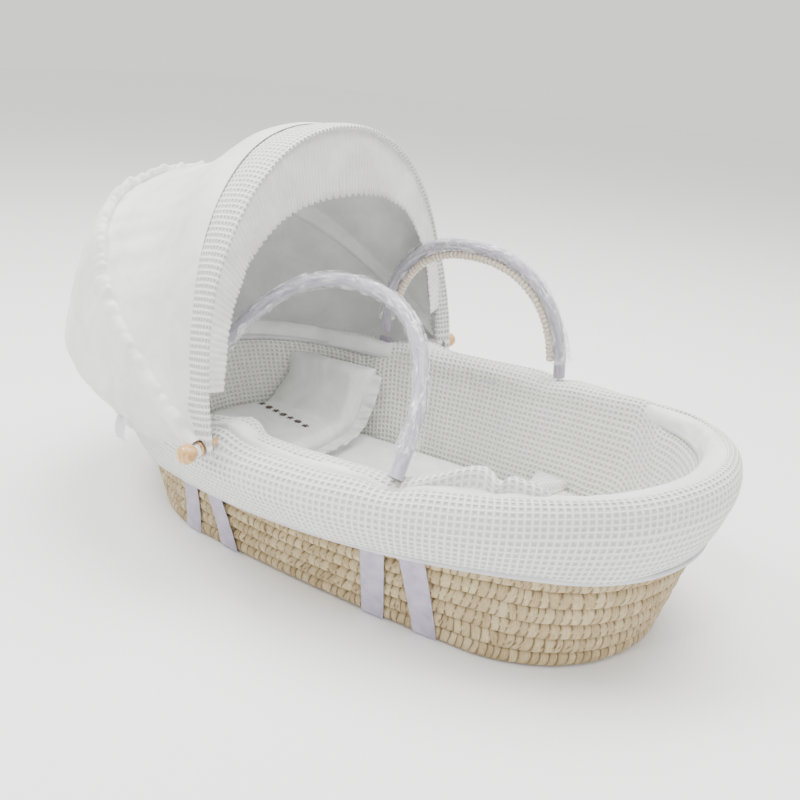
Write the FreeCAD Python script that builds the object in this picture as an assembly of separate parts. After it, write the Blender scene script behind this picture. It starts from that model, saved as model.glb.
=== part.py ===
import FreeCAD
import Part
import math
import os

# Moses basket with a folding fabric hood, carrying handles and a dressed interior.
# Millimetres.  +X runs from the head (hood) end to the foot end, +Z is up, and the origin is
# on the floor under the middle of the woven base.

Vec = FreeCAD.Vector

# ---- overall sizes ------------------------------------------------------------------------
base_half_length = 355.0      # woven base, middle to either end
base_half_width = 179.0       # woven base, middle to either side
base_end_radius = 169.0       # radius of the rounded ends of the base
head_spread = 1.25            # how fast the head end flares, against the sides
foot_spread = 0.82            # how fast the foot end flares, against the sides
end_radius_spread = 0.12      # how fast the end radius grows, against the sides
wall_flare = 0.34             # outward lean of the wall per millimetre of height
rim_tilt = 18.0               # rise of the rim towards the foot at 400 mm from the middle
rim_bow = 24.0                # rise of the rim at both ends at 400 mm from the middle
lift_span = 400.0             # distance over which tilt and bow are given

# ---- fits ---------------------------------------------------------------------------------
gap = 0.4                     # air left between neighbouring pieces
hinge_gap = 0.6               # air left round pivots

# ---- carrying tapes -----------------------------------------------------------------------
tape_width = 30.0
tape_thickness = 1.5
tape_top_height = 150.0
tape_top_spacing = 36.0       # between the two tapes of a pair, up at the rim
tape_foot_spacing = 68.0      # between the two tapes of a pair, down at the base
tape_stand_off = 1.2          # between the wall and a tape, up at the rim
tape_low_stand_off = 2.4      # the same near the floor, where the wall curves most
tape_turn_height = 60.0       # below this the low stand-off holds
tape_turn_rise = 1.9          # height of the fold where a tape turns under the base
tape_turn_offset = 0.6        # offset of that fold from the base outline

# ---- woven basket -------------------------------------------------------------------------
coil_diameter = 19.6
coil_pitch = 18.7
coil_rows = 8                 # wall rows, without the rim coil
rim_coil_diameter = 18.0
base_thickness = 14.0

# ---- mattress -----------------------------------------------------------------------------
mattress_thickness = 40.0
cover_thickness = 1.6
mattress_side_gap = 3.0

# ---- liner --------------------------------------------------------------------------------
bumper_foot_thickness = 10.0
bumper_top_thickness = 17.0
roll_height = 20.0            # padding over the top of the wall
roll_outside = 21.0           # padding outside the rim
skirt_thickness = 7.0
hem_height = 9.0
skirt_height = 98.0           # lower edge of the skirt above the floor at the middle
skirt_tilt = 34.0             # the lower edge rises towards the foot
skirt_bow = -10.0
tape_room = 3.6               # room between wall and skirt, where the tapes pass
piping_thickness = 3.0

# ---- hood ---------------------------------------------------------------------------------
pivot_x = -100.0
pivot_height = 184.0
front_bow_radius = 323.0
front_bow_half_width = 254.0
front_bow_squareness = 2.2
front_bow_lean = -8.2         # degrees from upright, towards the foot end is positive
mid_bow_radius = 366.0
mid_bow_half_width = 262.8
mid_bow_squareness = 2.5
mid_bow_lean = -53.0
bow_diameter = 8.0
eye_thickness = 3.0
eye_radius = 11.0
band_half_angle = 5.3         # half of the front band, degrees about the pivot
band_thickness = 3.0
panel_thickness = 2.4
casing_half_angle = 2.6
hood_foot_turn = 3.5          # where the hood's cloth stops short of the pivots, degrees of arch
casing_thickness = 4.4
frill_depth = 74.0
frill_side_depth = 15.0
frill_thickness = 2.0
rear_stand_off = 12.5         # rear panel outside the middle bow
peg_diameter = 8.0
collar_radius = 8.8
collar_thickness = 3.0
ribbon_radius = 7.5
ribbon_width = 3.0
knob_radius = 11.5
button_radius = 11.0
button_thickness = 5.0
label_width = 24.0
label_height = 30.0
label_thickness = 1.0

# ---- handles ------------------------------------------------------------------------------
handle_x = -26.0
handle_half_span = 144.0
handle_foot_y = 210.0
handle_foot_z = 198.0
near_handle_rise = 197.0
far_handle_rise = 161.0
near_handle_lean = 37.0       # degrees inwards from upright
far_handle_lean = 6.0
handle_squareness = 2.3
core_radius = 5.5
sleeve_radius = 8.6
film_radius = 9.6
wrap_radius = 5.0
slot_width = 24.0
lug_width = 18.0
lug_thickness = 4.0

# ---- bedding ------------------------------------------------------------------------------
pillow_right = -148.0         # frilled edge of the pillow
pillow_left = -372.0
pillow_near = -38.0
pillow_bend = 96.0            # from here the pillow climbs the far side
pillow_thickness = 24.0
pillow_rise = 74.0
pillow_frill_width = 16.0
pillow_frill_thickness = 3.0
coverlet_start = 128.0
coverlet_thickness = 9.0
coverlet_side_gap = 3.0
coverlet_fold_width = 46.0
coverlet_fold_thickness = 11.0

# ---- worked-out heights and offsets -------------------------------------------------------
wall_floor = tape_thickness + gap
coil_radius = coil_diameter / 2
rim_coil_radius = rim_coil_diameter / 2
first_row_height = wall_floor + coil_radius
rim_row_height = first_row_height + coil_rows * coil_pitch + (rim_coil_diameter - coil_diameter) / 2
wall_top = rim_row_height + rim_coil_radius
roll_floor = wall_top + gap
roll_top = roll_floor + roll_height
base_top = wall_floor + base_thickness
mattress_floor = base_top + gap
mattress_top = mattress_floor + mattress_thickness
bedding_floor = mattress_top + gap


def wall_centre(z):
    """Offset of the middle of the wall from the base outline at height z."""
    return wall_flare * (z - first_row_height) - coil_radius


def wall_outside(z):
    return wall_centre(z) + coil_radius


def wall_inside(z):
    return wall_centre(z) - coil_radius


def lift(x, z):
    """Rise of the rim line at x, fading to nothing at the floor."""
    share = (min(z, rim_row_height) / rim_row_height) ** 2
    along = x / lift_span
    return share * (rim_tilt * along + rim_bow * along * along)


def outline(offset, ends=8, sides=14):
    """Points round the basket: a four-arc oval, offset outwards, longer at the head end."""
    half_length = base_half_length + foot_spread * offset
    half_width = base_half_width + offset
    radius = min(base_end_radius + end_radius_spread * offset, 0.97 * half_width)
    reach = half_length - radius
    side_radius = (reach ** 2 + half_width ** 2 - radius ** 2) / (2 * (half_width - radius))
    side_centre = side_radius - half_width
    turn = math.atan2(side_centre, reach)
    head_scale = (base_half_length + head_spread * offset) / half_length
    points = []
    for start in (0.0, math.pi):
        sign = 1.0 if start == 0.0 else -1.0
        for i in range(ends):
            angle = -turn + 2 * turn * i / ends
            points.append((sign * (reach + radius * math.cos(angle)), sign * radius * math.sin(angle)))
        for i in range(sides):
            angle = turn + (math.pi - 2 * turn) * i / sides
            x = side_radius * math.cos(angle)
            points.append((sign * x, sign * (side_radius * math.sin(angle) - side_centre)))
    return [(x if x > 0 else x * head_scale, y) for x, y in points]


def side_y(offset, x):
    """Half width of the offset outline at x, along the sides."""
    points = sorted(p for p in outline(offset, 60, 240) if p[1] > 0)
    after = next(i for i, p in enumerate(points) if p[0] > x)
    (x0, y0), (x1, y1) = points[after - 1], points[after]
    return y0 + (y1 - y0) * (x - x0) / (x1 - x0)


def closed_curve(offset, z):
    """Closed spline round the basket; offset and z are numbers or functions of x."""
    corners = []
    guide = outline(0.0 if callable(offset) else offset)
    for i, (x, y) in enumerate(guide):
        if callable(offset):
            x, y = outline(offset(x))[i]
        height = z(x) if callable(z) else z + lift(x, z)
        corners.append(Vec(x, y, height))
    knots = [k / len(corners) for k in range(len(corners) + 1)]
    spline = Part.BSplineCurve()
    spline.interpolate(Points=corners, PeriodicFlag=True, Parameters=knots)
    return spline.toShape()


def closed_solid(faces):
    shell = Part.Shell(faces)
    shell.sewShape()
    solid = Part.Solid(shell)
    if solid.Volume < 0:
        solid.reverse()
    return solid


def ring(profile):
    """Solid that runs round the basket with a closed profile of (offset, height) corners."""
    curves = [closed_curve(offset, z) for offset, z in profile]
    faces = [Part.makeRuledSurface(a, b) for a, b in zip(curves, curves[1:] + curves[:1])]
    return closed_solid(faces)


def plate(offset_low, z_low, offset_high, z_high):
    """Level pad that fills the outline between two heights."""
    low = Part.Wire(flat_curve(offset_low, z_low))
    high = Part.Wire(flat_curve(offset_high, z_high))
    return Part.makeLoft([low, high], True, True)


def flat_curve(offset, z):
    corners = [Vec(x, y, z) for x, y in outline(offset)]
    knots = [k / len(corners) for k in range(len(corners) + 1)]
    spline = Part.BSplineCurve()
    spline.interpolate(Points=corners, PeriodicFlag=True, Parameters=knots)
    return spline.toShape()


def facet(a, b, c, d):
    """Flat face through four corners in one plane, or a ruled one where they aren't."""
    normal = (b - a).cross(c - a)
    if abs(normal.dot(d - a)) < 1e-6 * normal.Length:
        return Part.Face(Part.makePolygon([a, b, c, d, a]))
    return Part.makeRuledSurface(Part.makeLine(a, b), Part.makeLine(d, c))


def strip(sections):
    """Solid of facets through four-cornered sections."""
    faces = []
    for near, far in zip(sections, sections[1:]):
        for k in range(4):
            after = (k + 1) % 4
            faces.append(facet(near[k], near[after], far[after], far[k]))
    for corners in (sections[0], sections[-1]):
        faces.append(facet(*corners))
    return closed_solid(faces)


def surface(rows):
    spline = Part.BSplineSurface()
    spline.interpolate(rows)
    return spline


def slab(inner_rows, outer_rows):
    """Solid sheet between two grids of points of the same size."""
    inner = surface(inner_rows)
    outer = surface(outer_rows)
    faces = [inner.toShape(), outer.toShape()]
    for direction in ("uIso", "vIso"):
        for end in (0.0, 1.0):
            edges = []
            for sheet in (inner, outer):
                low_u, high_u, low_v, high_v = sheet.bounds()
                span = (low_u, high_u) if direction == "uIso" else (low_v, high_v)
                value = span[0] + end * (span[1] - span[0])
                edges.append(getattr(sheet, direction)(value).toShape())
            faces.append(Part.makeRuledSurface(edges[0], edges[1]))
    return closed_solid(faces)


def box(x_low, x_high, y_low, y_high, z_low, z_high):
    return Part.makeBox(x_high - x_low, y_high - y_low, z_high - z_low, Vec(x_low, y_low, z_low))


def rod(x, y_start, y_end, z, radius):
    direction = Vec(0, 1 if y_end > y_start else -1, 0)
    return Part.makeCylinder(radius, abs(y_end - y_start), Vec(x, y_start, z), direction)


def arc_point(half_width, radius, squareness, lean, turn):
    """Point of a hoop over the pivots.  turn runs 0..180 degrees from near to far."""
    angle = math.radians(turn)
    side = math.copysign(abs(math.cos(angle)) ** (2 / squareness), math.cos(angle))
    height = radius * math.sin(angle) ** (2 / squareness)
    tilt = math.radians(lean)
    return Vec(pivot_x + height * math.sin(tilt), -half_width * side, pivot_height + height * math.cos(tilt))


def swept(points, radius):
    spline = Part.BSplineCurve()
    spline.interpolate(Points=points)
    path = Part.Wire(spline.toShape())
    start_direction = spline.tangent(spline.FirstParameter)[0]
    circle = Part.Wire(Part.makeCircle(radius, points[0], start_direction))
    return path.makePipeShell([circle], True, True)


# ---- woven basket -------------------------------------------------------------------------

def coil_profile(z, radius):
    corners = []
    for k in range(10):
        angle = math.radians(36 * k + 18)
        corners.append((wall_centre(z) + radius * math.cos(angle), z + radius * math.sin(angle)))
    return corners


def basket_wall():
    """Rows of coil stitched into one flaring wall: outside going up, inside coming down."""
    outside = []
    inside = []
    for row in range(coil_rows):
        z = first_row_height + row * coil_pitch
        for angle in (-50, -18, 18, 50):
            turn = math.radians(angle)
            reach = coil_radius * math.cos(turn)
            outside.append((wall_centre(z) + reach, z + coil_radius * math.sin(turn)))
            inside.append((wall_centre(z) - reach, z + coil_radius * math.sin(turn)))
    low = (wall_centre(first_row_height), wall_floor)
    top_row = first_row_height + (coil_rows - 1) * coil_pitch
    high = (wall_centre(top_row), top_row + coil_radius - 2 * gap)
    return ring([low] + outside + [high] + inside[::-1])


def rim_coil():
    top = coil_profile(rim_row_height, rim_coil_radius)
    top_row = first_row_height + (coil_rows - 1) * coil_pitch
    shift = max(0.0, top_row + coil_radius + gap - (rim_row_height - rim_coil_radius))
    return ring([(offset, z + shift if z < rim_row_height else z) for offset, z in top])


def basket_base():
    """Woven floor, pressed down round the tapes that run under it."""
    edge = wall_inside(first_row_height) - gap
    base = plate(edge, 0.0, edge, base_top)
    reach = tape_width / 2 + gap
    past_edge = 2 * base_half_width
    base_groove = tape_thickness + gap
    for end in (-1, 1):
        for side in (-1, 1):
            x = handle_x + end * handle_half_span + side * tape_foot_spacing / 2
            base = base.cut(box(x - reach, x + reach, -past_edge, past_edge, -1, base_groove))
    return base


# ---- carrying tapes -----------------------------------------------------------------------

def tape(centre_x, side):
    """One tape: down the near side, under the base and up the far side."""
    upper_x = centre_x + side * tape_top_spacing / 2
    lower_x = centre_x + side * tape_foot_spacing / 2
    half = tape_width / 2
    sections = []
    for z in (tape_top_height, 120.0, 90.0, 60.0, 30.0, first_row_height):
        x = lower_x + (upper_x - lower_x) * z / tape_top_height
        stand_off = tape_stand_off if z > tape_turn_height else tape_low_stand_off
        section = []
        corners = ((0, x - half), (0, x + half), (tape_thickness, x + half), (tape_thickness, x - half))
        for reach, edge in corners:
            y = side_y(wall_outside(z) + stand_off + reach, edge)
            section.append(Vec(edge, -y, z + lift(edge, z)))
        sections.append(section)
    for offset, rise in ((tape_turn_offset, tape_turn_rise), (-coil_radius, 0.0)):
        section = []
        for edge in (lower_x - half, lower_x + half):
            section.append(Vec(edge, -side_y(offset, edge), tape_thickness + rise))
        for edge in (lower_x + half, lower_x - half):
            section.append(Vec(edge, -side_y(offset, edge) - rise / 2, rise * 0.6))
        sections.append(section)
    far = [[Vec(p.x, -p.y, p.z) for p in section] for section in reversed(sections)]
    return strip(sections + far)


# ---- mattress -----------------------------------------------------------------------------

mattress_low = wall_inside(mattress_floor) - 2 * gap - bumper_foot_thickness - mattress_side_gap


def bumper_inside(z):
    """Offset of the inner face of the side bumper at height z."""
    share = (z - bumper_floor) / (bumper_top - bumper_floor)
    outer = bumper_low_outer + share * (bumper_top_outer - bumper_low_outer)
    bulge = 2.0 * (1 - abs(2 * share - 1))
    return outer - bumper_foot_thickness - share * (bumper_top_thickness - bumper_foot_thickness) - bulge


def room(z_low, z_high, side_gap):
    """Space inside the bumper that takes in everything between two heights."""
    low = z_low - 1.0
    high = z_high + 1.0
    return plate(bumper_inside(low) - side_gap, low, bumper_inside(high) - side_gap, high)


def mattress_core():
    inset = mattress_low - cover_thickness - gap
    top = mattress_top - cover_thickness - gap
    return plate(inset, mattress_floor, inset, top)


def mattress_cover():
    outer = plate(mattress_low, mattress_floor, mattress_low, mattress_top)
    hollow = mattress_low - cover_thickness
    inner = plate(hollow, mattress_floor - 1, hollow, mattress_top - cover_thickness)
    return outer.cut(inner)


# ---- liner --------------------------------------------------------------------------------

bumper_floor = mattress_floor
bumper_top = wall_top - gap
bumper_low_outer = wall_inside(bumper_floor) - 2 * gap
bumper_top_outer = wall_inside(rim_row_height) - 2 * gap


def side_bumper():
    middle = (bumper_floor + bumper_top) / 2
    middle_outer = (bumper_low_outer + bumper_top_outer) / 2
    return ring([
        (bumper_low_outer, bumper_floor),
        (middle_outer, middle),
        (bumper_top_outer, bumper_top),
        (bumper_inside(bumper_top), bumper_top),
        (bumper_inside(middle), middle),
        (bumper_inside(bumper_floor), bumper_floor),
    ])


def skirt_line(x):
    """Height of the lower edge of the skirt above the floor at x."""
    along = x / lift_span
    return skirt_height + skirt_tilt * along + skirt_bow * along * along


def unlifted(x, height):
    """Height at the middle of the basket that the rim line carries to this height at x."""
    z = height
    for _ in range(6):
        z = height - lift(x, z)
    return z


def skirt_offset(extra, above=0.0):
    return lambda x: wall_outside(unlifted(x, skirt_line(x) + above)) + tape_room + extra


def skirt_z(above=0.0):
    return lambda x: skirt_line(x) + above


roll_outer = wall_outside(rim_row_height) + roll_outside
roll_crest = wall_centre(rim_row_height) + 8.0
roll_inner = bumper_top_outer - bumper_top_thickness
roll_split = roll_crest - 4.0


def foot_places():
    ends = (handle_x - handle_half_span, handle_x + handle_half_span)
    return [(x, side) for x in ends for side in (-1, 1)]


lug_top = handle_foot_z - sleeve_radius - 2 * gap


def foot_cuts():
    """Buttonholes through the padding for the strap lugs and the feet of the handles."""
    cuts = []
    for x, side in foot_places():
        inner = side * (handle_foot_y - 62)
        outer = side * (handle_foot_y + sleeve_radius + 11)
        cuts.append(box(x - slot_width / 2, x + slot_width / 2, min(inner, outer), max(inner, outer),
                        lug_top, roll_top + 60))
        middle = side * handle_foot_y
        cuts.append(box(x - lug_width / 2 - gap, x + lug_width / 2 + gap, middle - lug_thickness / 2 - gap,
                        middle + lug_thickness / 2 + gap, 140, lug_top + 1))
    return cuts


def peg_cuts():
    radius = peg_diameter / 2 + hinge_gap
    return [rod(pivot_x, side * 150, side * 300, pivot_height, radius) for side in (-1, 1)]


def rim_roll():
    """Padded waffle roll over the rim, hanging down outside as a skirt."""
    roll = ring([
        (roll_split, roll_floor),
        (wall_outside(roll_floor) + tape_room, roll_floor),
        (skirt_offset(0.0, hem_height + gap), skirt_z(hem_height + gap)),
        (skirt_offset(skirt_thickness, hem_height + gap), skirt_z(hem_height + gap)),
        (roll_outer - 6, rim_row_height - 34),
        (roll_outer, rim_row_height - 6),
        (roll_outer - 5, roll_floor + 0.5 * roll_height),
        (roll_crest + 3, roll_top),
        (roll_split, roll_top - 0.5),
    ])
    for cut in foot_cuts() + peg_cuts():
        roll = roll.cut(cut)
    return roll


def rim_facing():
    """Plain cotton half of the roll, on the inner side of the rim."""
    edge = roll_split - gap
    facing = ring([
        (roll_inner, roll_floor),
        (edge, roll_floor),
        (edge, roll_top - 0.5),
        (roll_inner + 13, roll_top - 2),
        (roll_inner + 2, roll_floor + 0.5 * roll_height),
    ])
    for cut in foot_cuts() + peg_cuts():
        facing = facing.cut(cut)
    return facing


def rim_piping():
    edge = roll_inner - gap
    piping = ring([
        (edge - piping_thickness, roll_floor - 1),
        (edge, roll_floor - 1),
        (edge, roll_floor + 5),
        (edge - piping_thickness, roll_floor + 5),
    ])
    for cut in foot_cuts():
        piping = piping.cut(cut)
    return piping


def skirt_hem():
    return ring([
        (skirt_offset(1.0), skirt_z()),
        (skirt_offset(1.0 + skirt_thickness * 0.6), skirt_z()),
        (skirt_offset(1.0 + skirt_thickness * 0.6, hem_height), skirt_z(hem_height)),
        (skirt_offset(1.0, hem_height), skirt_z(hem_height)),
    ])


# ---- bedding ------------------------------------------------------------------------------

def pillow_outline(inset, low, thickness):
    """(y, z) corners of the pillow's cross-section, bent up against the far side."""
    far_y = base_half_width + bumper_low_outer - bumper_foot_thickness - 10
    top_y = far_y + 10
    foot = low
    return [
        (pillow_near + inset, foot),
        (pillow_bend, foot),
        (far_y - inset, foot + 0.42 * pillow_rise),
        (top_y - inset, foot + pillow_rise),
        (top_y - inset - thickness, foot + pillow_rise),
        (far_y - inset - thickness, foot + 0.42 * pillow_rise + thickness * 0.8),
        (pillow_bend - 8, foot + thickness),
        (pillow_near + inset, foot + thickness),
    ]


def extruded(corners, x_low, x_high):
    points = [Vec(x_low, y, z) for y, z in corners]
    wire = Part.makePolygon(points + points[:1])
    return Part.Face(wire).extrude(Vec(x_high - x_low, 0, 0))


def pillow():
    shape = extruded(pillow_outline(0.0, bedding_floor, pillow_thickness), pillow_left, pillow_right)
    return shape.common(room(bedding_floor, bedding_floor + pillow_rise, coverlet_side_gap))


def pillow_frill():
    """Gathered edge along the near side and the right-hand side of the pillow."""
    middle = bedding_floor + pillow_thickness / 2 - pillow_frill_thickness / 2
    side = extruded(pillow_outline(0.0, middle, pillow_frill_thickness),
                    pillow_right + gap, pillow_right + pillow_frill_width)
    edge = box(pillow_left, pillow_right + pillow_frill_width, pillow_near - pillow_frill_width,
               pillow_near, middle, middle + pillow_frill_thickness)
    edge = edge.cut(box(pillow_left - 1, pillow_right + gap, pillow_near - gap, pillow_near + 1, 0, 200))
    frill = side.fuse(edge).removeSplitter()
    return frill.common(room(bedding_floor, bedding_floor + pillow_rise, coverlet_side_gap + 1))


def coverlet_pad(start, stop, low, thickness, side_gap):
    pad = room(low, low + thickness, side_gap)
    return pad.common(box(start, stop, -300, 300, low, low + thickness))


def coverlet():
    return coverlet_pad(coverlet_start, 500, bedding_floor, coverlet_thickness, coverlet_side_gap)


def coverlet_fold():
    low = bedding_floor + coverlet_thickness + gap
    return coverlet_pad(coverlet_start, coverlet_start + coverlet_fold_width, low,
                        coverlet_fold_thickness, coverlet_side_gap + 1)


# ---- hood ---------------------------------------------------------------------------------

turns = [3, 8, 14, 22, 34, 48, 64, 78, 90, 102, 116, 132, 146, 158, 166, 172, 177]
hood_turns = [hood_foot_turn] + turns[1:-1] + [180 - hood_foot_turn]
eye_mid_outer = mid_bow_half_width + eye_thickness / 2
collar_inner = eye_mid_outer + hinge_gap
collar_outer = collar_inner + collar_thickness
ribbon_inner = collar_outer + gap
ribbon_outer = ribbon_inner + ribbon_width
knob_centre = ribbon_outer + gap + knob_radius * 0.95


def hood_shape(lean):
    """Half width, radius and squareness of the hood between the two bows."""
    share = (lean - front_bow_lean) / (mid_bow_lean - front_bow_lean)
    share = max(0.0, min(1.0, share))
    half_width = front_bow_half_width + share * (mid_bow_half_width - front_bow_half_width)
    radius = front_bow_radius + share * (mid_bow_radius - front_bow_radius)
    squareness = front_bow_squareness + share * (mid_bow_squareness - front_bow_squareness)
    return half_width, radius, squareness


def hood_rows(lean_start, lean_end, stand_off, steps):
    rows = []
    for k in range(steps + 1):
        lean = lean_start + (lean_end - lean_start) * k / steps
        half_width, radius, squareness = hood_shape(lean)
        rows.append([arc_point(half_width + stand_off, radius + stand_off, squareness, lean, t)
                     for t in hood_turns])
    return rows


def bow(half_width, radius, squareness, lean):
    """Bent rod over the basket with a flat eye on each pivot peg."""
    first = math.degrees(math.asin(((eye_radius - 1.5) / radius) ** (squareness / 2)))
    path = [arc_point(half_width, radius, squareness, lean, t) for t in [first] + turns + [180 - first]]
    hoop = swept(path, bow_diameter / 2)
    for side in (-1, 1):
        low = side * (half_width - eye_thickness / 2)
        high = side * (half_width + eye_thickness / 2)
        hoop = hoop.fuse(rod(pivot_x, low, high, pivot_height, eye_radius))
        hoop = hoop.cut(rod(pivot_x, side * (half_width - 20), side * (half_width + 20), pivot_height,
                            peg_diameter / 2 + hinge_gap / 2))
    return hoop


def front_band():
    inner = bow_diameter / 2 + hinge_gap
    start = front_bow_lean + band_half_angle
    end = front_bow_lean - band_half_angle
    half_width, radius, squareness = hood_shape(front_bow_lean)
    rows = []
    for stand_off in (inner, inner + band_thickness):
        rows.append([[arc_point(half_width + stand_off, radius + stand_off, squareness, lean, t)
                      for t in hood_turns] for lean in (start, front_bow_lean, end)])
    return slab(rows[0], rows[1])


def front_frill():
    """Gathered lace that hangs inside the front band."""
    lean = front_bow_lean + band_half_angle - 1.2
    edge = bow_diameter / 2 + hinge_gap
    outer = []
    inner = []
    for t in [t for t in turns if 14 <= t <= 166]:
        depth = frill_side_depth + (frill_depth - frill_side_depth) * math.sin(math.radians(t)) ** 2
        outer.append(arc_point(front_bow_half_width + edge - gap, front_bow_radius + edge - gap,
                               front_bow_squareness, lean, t))
        inner.append(arc_point(front_bow_half_width - frill_side_depth, front_bow_radius - depth,
                               front_bow_squareness, lean, t))
    tilt = math.radians(lean)
    push = Vec(math.cos(tilt), 0, -math.sin(tilt)) * frill_thickness
    return slab([outer, inner], [[p + push for p in outer], [p + push for p in inner]])


panel_inner = bow_diameter / 2 + hinge_gap + band_thickness + 2 * gap


def front_panel():
    start = front_bow_lean - band_half_angle - 0.8
    end = mid_bow_lean + casing_half_angle + 0.6
    return slab(hood_rows(start, end, panel_inner, 4),
                hood_rows(start, end, panel_inner + panel_thickness, 4))


def bow_casing():
    """Gathered sleeve of the canopy round the middle bow."""
    inner = bow_diameter / 2 + hinge_gap
    rows = []
    for stand_off in (inner, inner + casing_thickness):
        rows.append([[arc_point(mid_bow_half_width + stand_off, mid_bow_radius + stand_off,
                                mid_bow_squareness, mid_bow_lean + k * casing_half_angle, t)
                      for t in hood_turns] for k in (1, 0, -1)])
    return slab(rows[0], rows[1])


rear_start = mid_bow_lean - casing_half_angle - 0.6
rear_free = -82.0             # from here down the rear panel gathers in towards the rim
rear_hem_offset = roll_outer + 5.0


def hem_point(turn, extra):
    """Where the elastic hem of the rear panel lies on the outside of the padded rim."""
    middle_x = pivot_x - 45
    heading = math.radians(-81 + 162 * (turn - 8) / 164)
    points = [p for p in outline(rear_hem_offset + extra, 60, 240) if p[0] < middle_x]
    x, y = min(points, key=lambda p: abs(math.atan2(p[1], middle_x - p[0]) - heading))
    return Vec(x, y, 176 - 60 * math.sin(math.radians(turn)) ** 0.9)


def rear_rows(stand_off, extra):
    rows = []
    chosen = [t for t in turns if 8 <= t <= 172]
    steps = 4
    for k in range(steps + 1):
        lean = rear_start + (rear_free - rear_start) * k / steps
        rows.append([arc_point(mid_bow_half_width + stand_off, mid_bow_radius + stand_off,
                               mid_bow_squareness, lean, t) for t in chosen])
    last = rows[-1]
    hem = [hem_point(t, extra) for t in chosen]
    bulge = [a * 0.62 + b * 0.38 + Vec(-8 * math.sin(math.radians(t)), 0, -6)
             for a, b, t in zip(last, hem, chosen)]
    rows.append(bulge)
    rows.append(hem)
    return rows


def rear_panel():
    return slab(rear_rows(rear_stand_off, 0.0),
                rear_rows(rear_stand_off + panel_thickness, panel_thickness))


def hood_peg(side):
    """Turned peg: knob outside, shank through both bow eyes and the padded rim."""
    shank_inner = side_y(roll_inner - 12, pivot_x)
    shank = rod(pivot_x, side * shank_inner, side * knob_centre, pivot_height, peg_diameter / 2)
    knob = Part.makeSphere(knob_radius, Vec(pivot_x, side * knob_centre, pivot_height))
    knob = knob.cut(rod(pivot_x, side * (ribbon_outer + gap - 20), side * (ribbon_outer + gap),
                        pivot_height, knob_radius + 5))
    return shank.fuse(knob)


def pierced_disc(side, low, high, radius):
    disc = rod(pivot_x, side * low, side * high, pivot_height, radius)
    return disc.cut(rod(pivot_x, side * (low - 1), side * (high + 1), pivot_height,
                        peg_diameter / 2 + gap / 2))


def peg_button(side):
    inner = side_y(roll_inner - 12, pivot_x) + 1
    return pierced_disc(side, inner, inner + button_thickness, button_radius)


def ribbon_tie(side):
    """Ribbon wound round the neck of the peg, behind the knob."""
    return pierced_disc(side, ribbon_inner, ribbon_outer, ribbon_radius)


def care_label():
    """Blank woven label on the hem of the hood, on the near side of the head end."""
    hem = hem_point(52, panel_thickness + gap)
    x, y, z = hem
    heading = math.degrees(math.atan2(y, x + 300))
    tag = Part.makeBox(label_thickness, label_width, label_height,
                       Vec(0, -label_width / 2, -label_height + 6))
    tag.rotate(Vec(0, 0, 0), Vec(0, 0, 1), heading)
    outwards = Vec(math.cos(math.radians(heading)), math.sin(math.radians(heading)), 0)
    tag.translate(Vec(x, y, z) + outwards * (2 * label_thickness + 3))
    return tag


# ---- handles ------------------------------------------------------------------------------

def handle_path(side, rise, lean, shrink, first):
    points = []
    tilt = math.radians(lean)
    for k in range(25):
        angle = math.radians(first + (180 - 2 * first) * k / 24)
        along = math.copysign(abs(math.cos(angle)) ** (2 / handle_squareness), math.cos(angle))
        up = (rise - shrink) * math.sin(angle) ** (2 / handle_squareness)
        x = handle_x - (handle_half_span - shrink) * along
        points.append(Vec(x, side * (handle_foot_y - up * math.sin(tilt)),
                          handle_foot_z + up * math.cos(tilt)))
    return points


def handle_tube(side, rise, lean, inner, outer, first):
    path = handle_path(side, rise, lean, 0.0, first)
    tube = swept(path, outer)
    if inner:
        tube = tube.cut(swept(path, inner))
    return tube


def strap_lugs():
    """Strap ends that come up through the buttonholes, one under each handle leg."""
    lugs = []
    for x, side in foot_places():
        low = wall_top + lift(x, wall_top) + 4 * gap
        middle = side * handle_foot_y
        lugs.append(box(x - lug_width / 2, x + lug_width / 2, middle - lug_thickness / 2,
                        middle + lug_thickness / 2, low, lug_top - gap))
    return Part.makeCompound(lugs)


# ---- write every piece --------------------------------------------------------------------

pieces = {
    "basket_wall": basket_wall(),
    "rim_coil": rim_coil(),
    "basket_base": basket_base(),
    "mattress_core": mattress_core(),
    "mattress_cover": mattress_cover(),
    "side_bumper": side_bumper(),
    "rim_roll": rim_roll(),
    "rim_facing": rim_facing(),
    "rim_piping": rim_piping(),
    "skirt_hem": skirt_hem(),
    "pillow": pillow(),
    "pillow_frill": pillow_frill(),
    "coverlet": coverlet(),
    "coverlet_fold": coverlet_fold(),
    "front_bow": bow(front_bow_half_width, front_bow_radius, front_bow_squareness, front_bow_lean),
    "mid_bow": bow(mid_bow_half_width, mid_bow_radius, mid_bow_squareness, mid_bow_lean),
    "front_band": front_band(),
    "front_frill": front_frill(),
    "front_panel": front_panel(),
    "bow_casing": bow_casing(),
    "rear_panel": rear_panel(),
    "care_label": care_label(),
    "strap_lugs": strap_lugs(),
}
for name, side in (("near", -1), ("far", 1)):
    pieces["hood_peg_" + name] = hood_peg(side)
    pieces["peg_collar_" + name] = pierced_disc(side, collar_inner, collar_outer, collar_radius)
    pieces["peg_button_" + name] = peg_button(side)
    pieces["ribbon_tie_" + name] = ribbon_tie(side)
handles = (("near", -1, near_handle_rise, near_handle_lean), ("far", 1, far_handle_rise, far_handle_lean))
for name, side, rise, lean in handles:
    pieces["handle_core_" + name] = handle_tube(side, rise, lean, 0, core_radius, 0.5)
    pieces["handle_sleeve_" + name] = handle_tube(side, rise, lean, core_radius + 0.2, sleeve_radius, 1)
    pieces["handle_film_" + name] = handle_tube(side, rise, lean, sleeve_radius + 0.2, film_radius, 14)
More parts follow.
